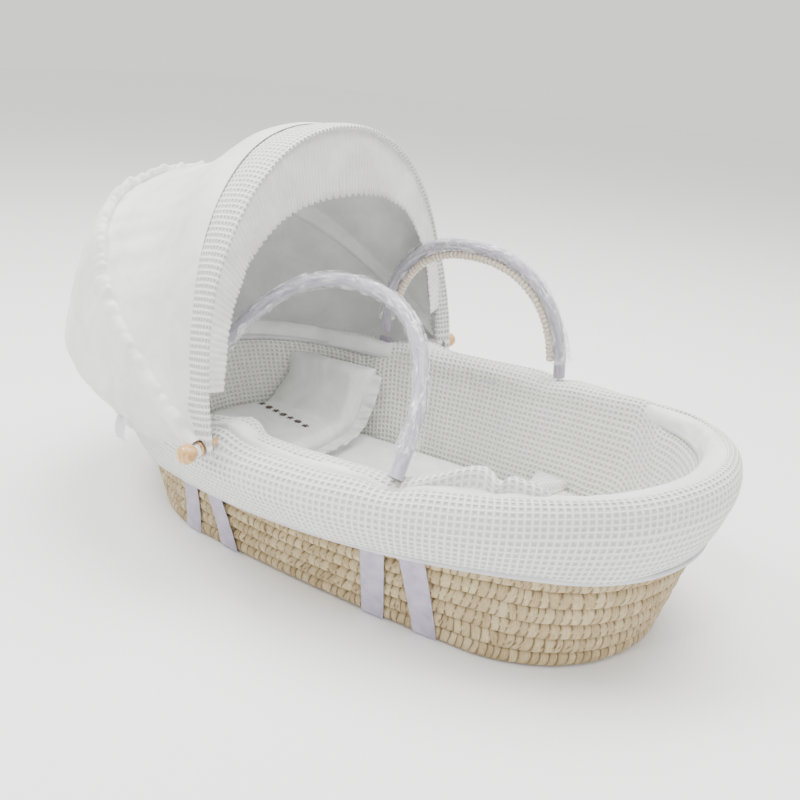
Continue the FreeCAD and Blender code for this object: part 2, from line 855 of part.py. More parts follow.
pieces["handle_wrap_far"] = swept(handle_path(1, far_handle_rise, far_handle_lean,
                                              film_radius + wrap_radius + gap, 24), wrap_radius)
for end, x in (("front", handle_x + handle_half_span), ("rear", handle_x - handle_half_span)):
    for label, side in (("head", -1), ("foot", 1)):
        pieces[end + "_tape_" + label] = tape(x, side)

os.makedirs("parts", exist_ok=True)
for name, shape in pieces.items():
    shape.exportStep("parts/" + name + ".step")
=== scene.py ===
import math

import bmesh
import bpy
import numpy as np
from mathutils import Matrix, Vector, noise
from mathutils.bvhtree import BVHTree


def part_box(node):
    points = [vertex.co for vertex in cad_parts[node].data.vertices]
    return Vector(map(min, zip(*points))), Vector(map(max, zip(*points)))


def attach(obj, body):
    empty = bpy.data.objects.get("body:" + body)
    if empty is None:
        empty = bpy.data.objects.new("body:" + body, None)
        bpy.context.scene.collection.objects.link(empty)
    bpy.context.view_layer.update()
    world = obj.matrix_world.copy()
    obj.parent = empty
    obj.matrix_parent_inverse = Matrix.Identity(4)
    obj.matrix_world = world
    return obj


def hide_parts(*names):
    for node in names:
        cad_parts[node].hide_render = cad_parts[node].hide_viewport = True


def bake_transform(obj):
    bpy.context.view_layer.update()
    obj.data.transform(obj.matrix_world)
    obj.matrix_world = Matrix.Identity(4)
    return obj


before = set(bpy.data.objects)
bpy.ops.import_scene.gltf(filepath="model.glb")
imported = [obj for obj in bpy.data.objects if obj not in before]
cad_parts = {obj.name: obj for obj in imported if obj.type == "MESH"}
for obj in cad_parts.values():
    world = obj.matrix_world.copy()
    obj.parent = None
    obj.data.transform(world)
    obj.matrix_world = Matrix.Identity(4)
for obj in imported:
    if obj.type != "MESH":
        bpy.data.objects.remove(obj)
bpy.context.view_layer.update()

# Moses basket with a folding fabric hood, carrying handles and a dressed interior, in metres.
# +X runs from the hood end to the foot end, -Y is the near side, +Z is up.

# ---- camera ----

view_back = Vector((0.4778, -0.7979, 0.3674)).normalized()
view_right = Vector((0.8385, 0.5389, 0.0799)).normalized()
view_up = view_back.cross(view_right).normalized()
camera_data = bpy.data.cameras.new("studio_camera")
camera_data.lens = 40.54
camera_data.sensor_width = 36.0
camera = bpy.data.objects.new("studio_camera", camera_data)
bpy.context.scene.collection.objects.link(camera)
camera.matrix_world = Matrix.Translation((0.5393, -0.9157, 0.6116)) @ Matrix(
    (view_up.cross(view_back), view_up, view_back)).transposed().to_4x4()
bpy.context.scene.camera = camera


# ---- sizes shared with the CAD source ----

base_half_length = 0.355
base_half_width = 0.179
base_end_radius = 0.169
head_spread = 1.25
foot_spread = 0.82
end_radius_spread = 0.12
wall_flare = 0.34
lift_span = 0.400
coil_radius = 0.0098
coil_pitch = 0.0187
first_row = 0.0117
rim_row = 0.1605
roll_floor = 0.1699
pivot = Vector((-0.100, 0.0, 0.184))
front_lean = -8.2
mid_lean = -53.0
tape_places = {"front": 0.118, "rear": -0.170}
tape_top = 0.150
tape_width = 0.030
under_offset, under_height = -0.012, 0.0009
handle_middle_x = -0.026
handle_half_length = 0.144
handle_side_y = 0.210
handle_foot_z = 0.198
handle_squareness = 2.3
rim_tilt, rim_dish = 0.018, 0.024
skirt_height, skirt_tilt, skirt_dish = 0.098, 0.034, 0.010
wrap_length = 0.0096
floor_coil = 0.0092


def wall_outside(z):
    return wall_flare * (z - first_row)


def lift(x, z):
    """Rise of the rim line towards both ends, fading to nothing at the floor."""
    along = x / lift_span
    return (min(z, rim_row) / rim_row) ** 2 * (rim_tilt * along + rim_dish * along * along)


ovals = {}


def oval(offset):
    """Share of the way round, x and y of the plan outline at an offset, from the head end's middle."""
    key = round(offset, 4)
    if key not in ovals:
        half_length = base_half_length + foot_spread * offset
        half_width = base_half_width + offset
        radius = min(base_end_radius + end_radius_spread * offset, 0.97 * half_width)
        reach = half_length - radius
        side_radius = (reach ** 2 + half_width ** 2 - radius ** 2) / (2 * (half_width - radius))
        side_centre = side_radius - half_width
        turn = math.atan2(side_centre, reach)
        end = np.linspace(-turn, turn, 121)[:-1]
        side = np.linspace(turn, math.pi - turn, 141)[:-1]
        x = np.concatenate([reach + radius * np.cos(end), side_radius * np.cos(side)])
        y = np.concatenate([radius * np.sin(end), side_radius * np.sin(side) - side_centre])
        x, y = np.concatenate([x, -x]), np.concatenate([y, -y])
        head_scale = (base_half_length + head_spread * offset) / half_length
        x = np.where(x < 0, x * head_scale, x)
        start = int(np.argmin(x))
        x, y = np.roll(x, -start), np.roll(y, -start)
        x, y = np.append(x, x[0]), np.append(y, y[0])
        way = np.concatenate([[0], np.cumsum(np.hypot(np.diff(x), np.diff(y)))])
        ovals[key] = (way / way[-1], x, y, way[-1])
    return ovals[key]


def plan(offset, share):
    way, x, y, _ = oval(offset)
    share = share % 1.0
    return float(np.interp(share, way, x)), float(np.interp(share, way, y))


def side(offset, x):
    """Half width of the outline at x."""
    _, xs, ys, _ = oval(offset)
    far = ys > 0
    order = np.argsort(xs[far])
    return float(np.interp(x, xs[far][order], ys[far][order]))


def smooth_line(points, closed=False, steps=12):
    """Evenly spaced parameter along a soft curve through points: returns a function of 0 to 1."""
    p = np.array(points, float)
    n = len(p)
    line = []
    for i in range(n if closed else n - 1):
        if closed:
            a, b, c, d = p[i - 1], p[i], p[(i + 1) % n], p[(i + 2) % n]
        else:
            a, b, c, d = p[max(i - 1, 0)], p[i], p[i + 1], p[min(i + 2, n - 1)]
        for k in range(steps):
            t = k / steps
            line.append(0.5 * (2 * b + (c - a) * t + (2 * a - 5 * b + 4 * c - d) * t * t
                               + (3 * b - a - 3 * c + d) * t ** 3))
    line.append(p[0] if closed else p[-1])
    line = np.array(line)
    way = np.concatenate([[0], np.cumsum(np.linalg.norm(np.diff(line, axis=0), axis=1))])
    way /= way[-1]
    return lambda v: [float(np.interp(v, way, line[:, k])) for k in range(line.shape[1])]


def wave(x, seed=0.0):
    """Soft unevenness, about -1 to 1."""
    return noise.noise(Vector((x, seed, 7.3 * seed)))


# ---- meshes ----

def piece_from(name, bm, smooth=True):
    mesh = bpy.data.meshes.new(name)
    bmesh.ops.recalc_face_normals(bm, faces=bm.faces)
    bm.to_mesh(mesh)
    bm.free()
    for face in mesh.polygons:
        face.use_smooth = smooth
    piece = bpy.data.objects.new(name, mesh)
    bpy.context.scene.collection.objects.link(piece)
    return piece


def lay_grid(bm, across, along, place, cloth, merge=1e-5):
    """One sheet laid out flat as a grid, its weave map in metres, then put in place."""
    weave = bm.loops.layers.uv.get("weave") or bm.loops.layers.uv.new("weave")
    made = bmesh.ops.create_grid(bm, x_segments=across, y_segments=along, size=0.5)["verts"]
    for face in {f for v in made for f in v.link_faces}:
        for loop in face.loops:
            loop[weave].uv = ((loop.vert.co.x + 0.5) * cloth[0], (loop.vert.co.y + 0.5) * cloth[1])
    for v in made:
        v.co = place(v.co.x + 0.5, v.co.y + 0.5)
    if merge:
        bmesh.ops.remove_doubles(bm, verts=made, dist=merge)


def cloth_piece(name, across, along, place, cloth):
    bm = bmesh.new()
    lay_grid(bm, across, along, place, cloth)
    return piece_from(name, bm)


def around(name, profile, columns, rows, closed=True, push=None):
    """A piece that runs round the basket; profile(x) gives its section as (offset, height) corners."""
    lines = {}
    middle = profile(0.0)
    girth = sum(math.dist(a, b) for a, b in zip(middle, middle[1:] + middle[:1] * closed))
    length = oval(sum(p[0] for p in middle) / len(middle))[3]

    def place(u, v):
        key = round(u, 7)
        if key not in lines:
            lines[key] = smooth_line(profile(plan(0.05, u)[0]), closed)
        offset, z = lines[key](v)
        x, y = plan(offset, u)
        point = Vector((x, y, z + lift(x, z)))
        return push(point, u, v) if push else point

    return cloth_piece(name, columns, rows, place, (length, girth))


def finish_with(piece, kind, **settings):
    modifier = piece.modifiers.new(kind.lower(), kind)
    for name, value in settings.items():
        setattr(modifier, name, value)
    return modifier


def rounded(piece, levels=1):
    finish_with(piece, "SUBSURF", levels=levels, render_levels=levels)


def thicken(piece, thickness, offset=0.0):
    finish_with(piece, "SOLIDIFY", thickness=thickness, offset=offset)


def padding_from(name, node, voxel):
    """A copy of a plain CAD pad, remeshed evenly so that it can be blown up."""
    bm = bmesh.new()
    bm.from_mesh(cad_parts[node].data)
    bmesh.ops.remove_doubles(bm, verts=bm.verts, dist=1e-5)
    pad = piece_from(name, bm)
    finish_with(pad, "REMESH", mode="VOXEL", voxel_size=voxel)
    even = bpy.data.meshes.new_from_object(pad.evaluated_get(bpy.context.evaluated_depsgraph_get()))
    pad.modifiers.clear()
    pad.data = even
    for face in even.polygons:
        face.use_smooth = True
    return pad


def points_of(piece):
    return np.array([v.co for v in piece.data.vertices], float).reshape(-1, 3)


def move_points(piece, change):
    """Every point of a piece through a function of its place and its outward direction."""
    normals = [v.normal.copy() for v in piece.data.vertices]
    for v, normal in zip(piece.data.vertices, normals):
        v.co = change(v.co.copy(), normal)
    piece.data.update()


def puff(piece, pressure=4.0, cap=0.008, frames=20):
    """Blow a pad up as cloth, with no gravity, and let no point travel further than cap."""
    rest = points_of(piece)
    cloth = piece.modifiers.new("cloth", "CLOTH")
    cloth.settings.quality = 5
    cloth.settings.use_pressure = True
    cloth.settings.uniform_pressure_force = pressure
    cloth.settings.effector_weights.gravity = 0.0
    cloth.point_cache.frame_start = 1
    cloth.point_cache.frame_end = frames
    scene = bpy.context.scene
    for number in range(1, frames + 1):
        scene.frame_set(number)
    blown = piece.evaluated_get(bpy.context.evaluated_depsgraph_get()).to_mesh()
    moved = np.array([v.co for v in blown.vertices], float).reshape(-1, 3) - rest
    piece.modifiers.remove(cloth)
    scene.frame_set(1)
    far = np.linalg.norm(moved, axis=1)
    moved *= np.minimum(1.0, cap / np.maximum(far, 1e-9))[:, None]
    piece.data.vertices.foreach_set("co", (rest + moved).astype(np.float32).ravel())
    piece.data.update()


def lay_weave(piece, flat):
    """Weave map in metres from a function of each point's place."""
    layer = piece.data.uv_layers.get("weave") or piece.data.uv_layers.new(name="weave")
    places = [flat(v.co) for v in piece.data.vertices]
    values = [places[loop.vertex_index] for loop in piece.data.loops]
    layer.data.foreach_set("uv", np.array(values, np.float32).ravel())


# ---- materials ----

def linear(code):
    """An sRGB hex colour as linear red, green, blue and alpha."""
    parts = [int(code[i:i + 2], 16) / 255 for i in (1, 3, 5)]
    return [c / 12.92 if c <= 0.04045 else ((c + 0.055) / 1.055) ** 2.4 for c in parts] + [1.0]


def feed(tree, node, inputs):
    """Values and links into a node; a node given as a value is linked from its first output."""
    for name, value in inputs.items():
        if isinstance(value, bpy.types.Node):
            value = value.outputs[0]
        if isinstance(value, bpy.types.NodeSocket):
            tree.links.new(value, node.inputs[name])
        else:
            node.inputs[name].default_value = value


def add(tree, kind, inputs=None, **settings):
    """A node with its settings, its input values and its links."""
    node = tree.nodes.new("ShaderNode" + kind)
    for name, value in settings.items():
        setattr(node, name, value)
    feed(tree, node, inputs or {})
    return node


def cover(tree, skin, tone, shades, relief, bump, others):
    """Colour between two shades by tone, relief as a bump of (strength, distance), and other inputs."""
    colour = add(tree, "Mix", {"Factor": tone, "A": shades[0], "B": shades[1]}, data_type="RGBA")
    normal = add(tree, "Bump", {"Height": relief, "Strength": bump[0], "Distance": bump[1]})
    feed(tree, skin, {"Base Color": colour.outputs["Result"], "Normal": normal, **others})


def new_material(name):
    material = bpy.data.materials.new(name)
    material.use_nodes = True
    tree = material.node_tree
    return material, tree, tree.nodes["Principled BSDF"]


def waffle_pique(name, ridge, hollow, cell=0.0072, depth=0.0030):
    """Waffle pique cotton: a square honeycomb of raised thread with sunk cells, soft and matt."""
    material, tree, skin = new_material(name)
    weave = add(tree, "UVMap", uv_map="weave")
    drift = add(tree, "TexNoise", {"Vector": weave, "Scale": 26.0, "Detail": 2.0}).outputs["Color"]
    drift = add(tree, "VectorMath", {0: drift, "Scale": 0.0016}, operation="SCALE")
    weave = add(tree, "VectorMath", {0: weave, 1: drift}, operation="ADD")
    cells = add(tree, "VectorMath", {0: weave, "Scale": 1 / cell}, operation="SCALE")
    cells = add(tree, "VectorMath", {0: cells}, operation="FRACTION")
    cells = add(tree, "VectorMath", {0: cells, 1: (0.5, 0.5, 0.5)}, operation="SUBTRACT")
    cells = add(tree, "VectorMath", {0: cells}, operation="ABSOLUTE")
    parts = add(tree, "SeparateXYZ", {0: cells}).outputs
    edge = add(tree, "Math", {0: parts[0], 1: parts[1]}, operation="MAXIMUM")
    height = add(tree, "MapRange", {"Value": edge, "From Min": 0.02, "From Max": 0.48},
                 interpolation_type="SMOOTHSTEP")
    # Painted shade: the colour darkens towards the middle of each sunk cell, where shade falls; broad noise
    # adds uneven tone on top.
    hollow_shade = add(tree, "MapRange", {"Value": edge, "From Min": 0.04, "From Max": 0.34},
                       interpolation_type="SMOOTHSTEP")
    # Single threads are about 0.4 mm, drawn at about 1 mm so that they show.
    thread = add(tree, "TexNoise", {"Vector": weave, "Scale": 900.0, "Detail": 2.0})
    relief = add(tree, "Math", {0: thread, 1: 0.10, 2: height}, operation="MULTIPLY_ADD")
    broad = add(tree, "TexNoise", {"Vector": weave, "Scale": 9.0, "Detail": 3.0})
    shade = add(tree, "Math", {0: broad, 1: 0.30, 2: hollow_shade}, operation="MULTIPLY_ADD")
    shade = add(tree, "MapRange", {"Value": shade, "From Min": 0.1, "From Max": 1.15})
    cover(tree, skin, shade, (linear(hollow), linear(ridge)), relief, (1.0, depth),
          {"Roughness": 0.88, "Sheen Weight": 0.25, "Sheen Roughness": 0.5})
    return material


def plain_weave(name, light, dark, thread=0.0011, crease=0.0034, roughness=0.82, sheen=0.2):
    """Plain woven cotton: a close over-and-under weave, matt, with soft creases from packing."""
    material, tree, skin = new_material(name)
    weave = add(tree, "UVMap", uv_map="weave")
    # Threads are about 0.3 mm apart, drawn coarser so that they show.
    warp = add(tree, "TexWave", {"Vector": weave, "Scale": 0.3142 / thread, "Distortion": 0.6},
               bands_direction="X").outputs[1]
    weft = add(tree, "TexWave", {"Vector": weave, "Scale": 0.3142 / thread, "Distortion": 0.6},
               bands_direction="Y").outputs[1]
    threads = add(tree, "Math", {0: warp, 1: weft}, operation="MULTIPLY")
    place = add(tree, "TexCoord").outputs["Object"]
    creases = add(tree, "TexNoise", {"Vector": place, "Scale": 17.0, "Detail": 4.0,
                                     "Roughness": 0.6, "Distortion": 0.7})
    relief = add(tree, "Math", {0: threads, 1: 0.05, 2: creases}, operation="MULTIPLY_ADD")
    # The colour follows the relief: painted shade in the crease valleys and between the threads.
    shade = add(tree, "MapRange", {"Value": relief, "From Min": 0.3, "From Max": 0.75})
    cover(tree, skin, shade, (linear(dark), linear(light)), relief, (0.8, crease),
          {"Roughness": roughness, "Sheen Weight": sheen, "Sheen Roughness": 0.45})
    return material


def twisted_maize():
    """Maize leaf wrapped round a core: dry, satin on the turns, with painted shade where the turns meet."""
    material, tree, skin = new_material("twisted_maize")
    weave = add(tree, "UVMap", uv_map="weave")
    turn = add(tree, "Attribute", attribute_name="turn_tint").outputs["Fac"]
    groove_shade = add(tree, "Attribute", attribute_name="groove_shade").outputs["Fac"]
    lean = add(tree, "Mapping", {"Vector": weave, "Rotation": (0, 0, 0.12), "Scale": (1500.0, 80.0, 1.0)})
    # Leaf fibres are under 1 mm wide and run round the coil.
    fibre = add(tree, "TexNoise", {"Vector": lean, "Scale": 1.0, "Detail": 4.0, "Roughness": 0.62})
    blotch = add(tree, "TexNoise", {"Vector": weave, "Scale": 60.0, "Detail": 2.0})
    tone = add(tree, "Math", {0: turn, 1: 0.22, 2: fibre}, operation="MULTIPLY_ADD")
    tone = add(tree, "Math", {0: blotch, 1: 0.25, 2: tone}, operation="MULTIPLY_ADD")
    tone = add(tree, "MapRange", {"Value": tone, "From Min": 0.42, "From Max": 0.95})
    straw = add(tree, "Mix", {"Factor": tone, "A": linear("#96794b"), "B": linear("#dfcda2")},
                data_type="RGBA").outputs["Result"]
    # Painted shade in the pinched joins where the turns meet.
    dark = add(tree, "Math", {0: groove_shade, 1: 1.6}, operation="POWER", use_clamp=True)
    rough = add(tree, "MapRange", {"Value": fibre, "To Min": 0.5, "To Max": 0.8})
    cover(tree, skin, dark, (straw, linear("#6b5231")), fibre, (0.9, 0.0022), {"Roughness": rough})
    return material


def woven_tape():
    """Lilac cotton tape: fine ribs across the width, slightly sheer and worn, matt."""
    material, tree, skin = new_material("lilac_woven_tape")
    weave = add(tree, "UVMap", uv_map="weave")
    # The ribs are about 0.8 mm apart, drawn at 1.6 mm.
    ribs = add(tree, "TexWave", {"Vector": weave, "Scale": 196.0, "Distortion": 1.2},
               bands_direction="Y").outputs[1]
    cloud = add(tree, "TexNoise", {"Vector": weave, "Scale": 55.0, "Detail": 4.0})
    # The colour follows the relief: painted shade between the ribs, on top of cloudy uneven tone.
    tone = add(tree, "Math", {0: ribs, 1: 0.25, 2: cloud}, operation="MULTIPLY_ADD")
    tone = add(tree, "MapRange", {"Value": tone, "From Min": 0.3, "From Max": 0.95})
    cover(tree, skin, tone, (linear("#93889f"), linear("#c4bccd")), tone, (0.6, 0.0008),
          {"Roughness": 0.72, "Sheen Weight": 0.3})
    return material


def handle_cloth():
    """Grey lilac cotton tube under clear film: fine weave with pulled creases along its length."""
    material, tree, skin = new_material("grey_lilac_handle_cloth")
    weave = add(tree, "UVMap", uv_map="weave")
    pull = add(tree, "Mapping", {"Vector": weave, "Scale": (160.0, 40.0, 1.0)})
    creases = add(tree, "TexNoise", {"Vector": pull, "Scale": 1.0, "Detail": 4.0, "Distortion": 0.8})
    threads = add(tree, "TexWave", {"Vector": weave, "Scale": 240.0}, bands_direction="DIAGONAL").outputs[1]
    # The colour follows the relief: painted shade in the pulled creases and between the threads.
    tone = add(tree, "Math", {0: threads, 1: 0.18, 2: creases}, operation="MULTIPLY_ADD")
    tone = add(tree, "MapRange", {"Value": tone, "From Min": 0.35, "From Max": 0.8})
    cover(tree, skin, tone, (linear("#8f8a9c"), linear("#c3bfcb")), tone, (0.7, 0.0012),
          {"Roughness": 0.6, "Sheen Weight": 0.3})
    return material


def clear_film():
    """Thin clear packing film: see-through, very glossy, crinkled so that it glints, with opaque white
    patches painted in as highlights.
    """
    material, tree, skin = new_material("clear_packing_film")
    weave = add(tree, "UVMap", uv_map="weave")
    pulled = add(tree, "Mapping", {"Vector": weave, "Scale": (150.0, 38.0, 1.0)})
    crinkle = add(tree, "TexNoise", {"Vector": pulled, "Scale": 1.0, "Detail": 4.0,
                                     "Roughness": 0.6, "Distortion": 1.2})
    folds = add(tree, "TexVoronoi", {"Vector": weave, "Scale": 60.0}, feature="F1")
    relief = add(tree, "Math", {0: folds, 1: 0.9, 2: crinkle}, operation="MULTIPLY_ADD")
    # Painted highlight: the crinkle makes patches of the film opaque near-white.
    painted_highlight_alpha = add(tree, "MapRange", {"Value": crinkle, "From Min": 0.48, "From Max": 0.64,
                                  "To Min": 0.06, "To Max": 0.72})
    bump = add(tree, "Bump", {"Height": relief, "Strength": 1.0, "Distance": 0.006})
    feed(tree, skin, {"Base Color": linear("#fbfbfe"), "Normal": bump, "Alpha": painted_highlight_alpha, "Roughness": 0.08,
                      "IOR": 1.5, "Coat Weight": 1.0, "Coat Roughness": 0.04})
    return material


def varnished_beech():
    """Turned beech under clear varnish: warm, fine flecked grain, smooth and glossy."""
    material, tree, skin = new_material("varnished_beech")
    place = add(tree, "TexCoord").outputs["Object"]
    along = add(tree, "Mapping", {"Vector": place, "Scale": (420.0, 40.0, 420.0)})
    grain = add(tree, "TexNoise", {"Vector": along, "Scale": 1.0, "Detail": 5.0, "Distortion": 0.6})
    rings = add(tree, "TexWave", {"Vector": place, "Scale": 70.0, "Distortion": 3.0,
                                  "Detail": 2.0}).outputs[1]
    tone = add(tree, "Math", {0: rings, 1: 0.35, 2: grain}, operation="MULTIPLY_ADD")
    tone = add(tree, "MapRange", {"Value": tone, "From Min": 0.35, "From Max": 0.95})
    cover(tree, skin, tone, (linear("#b07f42"), linear("#dcb677")), grain, (0.25, 0.0003),
          {"Roughness": 0.3, "Coat Weight": 0.6, "Coat Roughness": 0.12})
    return material


def drawn_steel():
    """Drawn steel wire with a dull zinc coat: grey, faint lines along its length."""
    material, tree, skin = new_material("zinc_coated_wire")
    place = add(tree, "TexCoord").outputs["Object"]
    spangle = add(tree, "TexNoise", {"Vector": place, "Scale": 320.0, "Detail": 3.0})
    colour = add(tree, "Mix", {"Factor": spangle, "A": linear("#8d9094"), "B": linear("#b7babd")},
                 data_type="RGBA")
    rough = add(tree, "MapRange", {"Value": spangle, "To Min": 0.3, "To Max": 0.5})
    feed(tree, skin, {"Base Color": colour.outputs["Result"], "Roughness": rough, "Metallic": 1.0})
    return material


def ribbed_sleeve():
    """Cream foam sleeve, ribbed round its length, soft and matt."""
    material, tree, skin = new_material("cream_ribbed_sleeve")
    weave = add(tree, "UVMap", uv_map="weave")
    ribs = add(tree, "TexWave", {"Vector": weave, "Scale": 52.0, "Distortion": 2.5, "Detail": 2.0},
               bands_direction="Y").outputs[1]
    fuzz = add(tree, "TexNoise", {"Vector": weave, "Scale": 160.0, "Detail": 4.0})
    # The colour follows the relief: painted shade in the troughs between the ribs, with fuzzy uneven tone.
    tone = add(tree, "Math", {0: fuzz, 1: 0.5, 2: ribs}, operation="MULTIPLY_ADD")
    tone = add(tree, "MapRange", {"Value": tone, "From Min": 0.2, "From Max": 1.2})
    cover(tree, skin, tone, (linear("#cdbda6"), linear("#efe6d8")), tone, (0.8, 0.0012),
          {"Roughness": 0.7})
    return material


waffle = waffle_pique("white_waffle_pique", "#f3f4f1", "#c2c4c4")
waffle_inside = waffle_pique("liner_waffle_pique", "#efefe9", "#c9c9c2", depth=0.0024)
cotton = plain_weave("white_plain_cotton", "#f4f5f3", "#dcdddb")
voile = plain_weave("pleated_voile", "#ecebea", "#d0cfce", crease=0.001)
satin = plain_weave("white_satin_ribbon", "#efeef4", "#cfccd8", crease=0.0008, roughness=0.38, sheen=0.05)
hem_tape = plain_weave("pale_grey_hem_binding", "#dcdcde", "#c3c3c8", crease=0.0006)
thread_brown = plain_weave("dark_brown_embroidery_thread", "#5c4033", "#33211a", thread=0.0008,
                           roughness=0.5)
edge_line_finish = plain_weave("dark_grey_edge_line", "#8b8782", "#55514d", thread=0.0016, crease=0.0006)
cord_cotton = plain_weave("handle_core_cord", "#ddd8cc", "#bdb6a6")
maize = twisted_maize()
tape_cloth = woven_tape()
handle_fabric = handle_cloth()
film = clear_film()
beech = varnished_beech()
steel = drawn_steel()
cream = ribbed_sleeve()


def dress(piece, material, body, stands_for=()):
    """Material, body and the CAD pieces that this one stands for."""
    piece.data.materials.clear()
    piece.data.materials.append(material)
    if body:
        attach(piece, body)
    if stands_for:
        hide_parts(*stands_for)
    return piece


def keep_node(name, material):
    """A CAD piece that stays as it is, with its finish."""
    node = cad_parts[name]
    node.data.materials.clear()
    node.data.materials.append(material)
    return node


# ---- woven basket ----

def lay_coil(bm, offset, z, radius, seed, around_steps=12, flat=0.985):
    """One turn of wrapped rope round the basket, its leaf wraps plump between pinched joins."""
    rng = np.random.default_rng(seed)
    length = oval(offset)[3]
    count = int(length / wrap_length)
    widths = rng.uniform(0.65, 1.35, count)
    starts = np.concatenate([[0], np.cumsum(widths)]) / widths.sum()
    plump = rng.uniform(0.95, 1.02, count)
    slant = 0.10 + 0.16 * rng.standard_normal(count)
    tint = rng.random(count)
    steps = ((0.0, 0.91), (0.20, 0.98), (0.52, 1.0), (0.84, 0.98))
    tint_layer = bm.faces.layers.float.get("turn_tint") or bm.faces.layers.float.new("turn_tint")
    groove_layer = bm.verts.layers.float.get("groove_shade") or bm.verts.layers.float.new("groove_shade")
    old = set(bm.faces)
    first = len(bm.verts)
    columns = count * len(steps)

    def place(u, v):
        k = int(round(u * columns))
        wrap = (k // len(steps)) % count
        share, size = steps[k % len(steps)]
        angle = 2 * math.pi * v
        step = starts[wrap] + share * (starts[wrap + 1] - starts[wrap])
        step += slant[wrap] * radius * math.sin(angle) / length
        r = radius * size * (plump[wrap] if share else 1.0)
        centre = plan(offset, step)
        outer = plan(offset + r * math.cos(angle), step)
        height = z + r * math.sin(angle) * flat
        return Vector((outer[0], outer[1], height + lift(centre[0], height)))

    lay_grid(bm, columns, around_steps, place, (length, 2 * math.pi * radius), merge=0)
    bm.verts.ensure_lookup_table()
    made = bm.verts[first:]
    for face in set(bm.faces) - old:
        middle = sum(loop[bm.loops.layers.uv["weave"]].uv.x for loop in face.loops) / 4 / length
        k = int(middle * columns)
        face[tint_layer] = tint[(k // len(steps)) % count]
    # Groove shade weight: 1 at each pinched join, none at the plump middle of a wrap; the maize finish
    # paints it as shade.
    for i, v in enumerate(made):
        k = i % (columns + 1)
        v[groove_layer] = (1.0, 0.12, 0.0, 0.12)[k % len(steps)]
    bmesh.ops.remove_doubles(bm, verts=made, dist=2e-5)


def rope_piece(name, rows):
    bm = bmesh.new()
    for row in rows:
        lay_coil(bm, **row)
    return piece_from(name, bm)


def wall_row(z, **settings):
    return dict(offset=wall_outside(z) - coil_radius, z=z, **settings)


wall_rows = [wall_row(first_row + k * coil_pitch, radius=coil_radius, seed=20 + k) for k in range(8)]
rim_rows = [wall_row(rim_row, radius=0.0088, seed=31, around_steps=10)]
floor_rows = [dict(offset=-0.0285 - k * 0.0176, z=floor_coil, radius=floor_coil, seed=40 + k, around_steps=8,
                   flat=0.72) for k in range(9)]
for name, rows, node in (("rope_wall", wall_rows, "basket_wall"), ("rope_rim", rim_rows, "rim_coil"),
                         ("rope_floor", floor_rows, "basket_base")):
    dress(rope_piece(name, rows), maize, "basket", [node])


# ---- carrying tapes ----

def carrying_tape(name, centre_x, lean):
    """Flat tape from under the skirt down the wall, under the floor and up the far side."""
    heights = (0.150, 0.128, 0.106, 0.084, 0.062, 0.040, 0.020, 0.0117)
    run = [(wall_outside(z) + 0.0021, z) for z in heights] + [(0.0, 0.0035), (under_offset, under_height)]
    half = smooth_line([(tape_top - z, o, z) for o, z in run])
    total = tape_top * 1.06 + 0.16
    down_share = 0.159 / (0.159 + side(under_offset, centre_x))

    def place(u, v):
        mirror = 1 if v > 0.5 else -1
        s = 1 - abs(2 * v - 1)
        if s < down_share:
            _, offset, z = half(s / down_share)
        else:
            offset, z = under_offset, under_height
        x_middle = centre_x + lean * (0.034 + (0.018 - 0.034) * max(0.0, z) / tape_top)
        x = x_middle + (u - 0.5) * tape_width
        ripple = 0.0007 * wave(v * 60, centre_x * 50 + lean) * (1 if z > 0.01 else 0)
        y = side(offset + ripple, x)
        if s >= down_share:
            y *= (1 - s) / (1 - down_share)
        return Vector((x, mirror * y, z + lift(x, z)))

    piece = cloth_piece(name, 6, 150, place, (tape_width, 2 * total))
    thicken(piece, 0.0013)
    rounded(piece)
    return piece


for end, x in tape_places.items():
    for label, lean in (("head", -1), ("foot", 1)):
        node = f"{end}_tape_{label}"
        tape = carrying_tape("carrying_" + node, x, lean)
        dress(tape, tape_cloth, "basket", [node])


# ---- liner ----

def skirt_line(x):
    along = x / lift_span
    return skirt_height + skirt_tilt * along - skirt_dish * along * along


def unlifted(x, height):
    z = height
    for _ in range(5):
        z = height - lift(x, z)
    return z


def skirt_corner(x, above, extra):
    z = unlifted(x, skirt_line(x) + above)
    return wall_outside(z) + 0.0036 + extra, z


handle_feet = [Vector((x, y, handle_foot_z)) for x in sorted(tape_places.values())
                for y in (-handle_side_y, handle_side_y)]


def by_handle(point):
    """How near a point is to the foot of a handle, 0 to 1."""
    return max(math.exp(-((point - foot).length / 0.022) ** 2) for foot in handle_feet)


def over_peg(point):
    """How near a point of the rim's top is to a hood peg, 0 to 1."""
    return math.exp(-((point.x - pivot.x) / 0.024) ** 2) * max(0.0, min(1.0, (point.z - 0.168) / 0.016))


def roll_section(x):
    low = skirt_corner(x, 0.0080, 0.0074)
    drop = [(low[0] + (0.0716 - low[0]) * t + 0.016 * t * (1 - t), low[1] + (0.1560 - low[1]) * t)
            for t in (0.0, 0.33, 0.67, 1.0)]
    under = [(0.0448, 0.1705), (0.0570, 0.1690), skirt_corner(x, 0.020, 0.0010),
             skirt_corner(x, 0.0056, 0.0006), skirt_corner(x, 0.0048, 0.0040)]
    return under + drop + [(0.0672, 0.1775), (0.0560, 0.1888), (0.0448, 0.1898)]


def roll_give(point, u, v):
    """Soft unevenness of the padding, and a dip round each handle's foot."""
    soft = 0.0014 * wave(u * 26, 1.0) * math.sin(math.pi * v) + 0.0008 * wave(u * 90, v * 4)
    outwards = Vector((point.x, point.y * 2.2, 0)).normalized()
    return point + outwards * soft + Vector((0, 0, 0.007 * over_peg(point) - 0.006 * by_handle(point)))


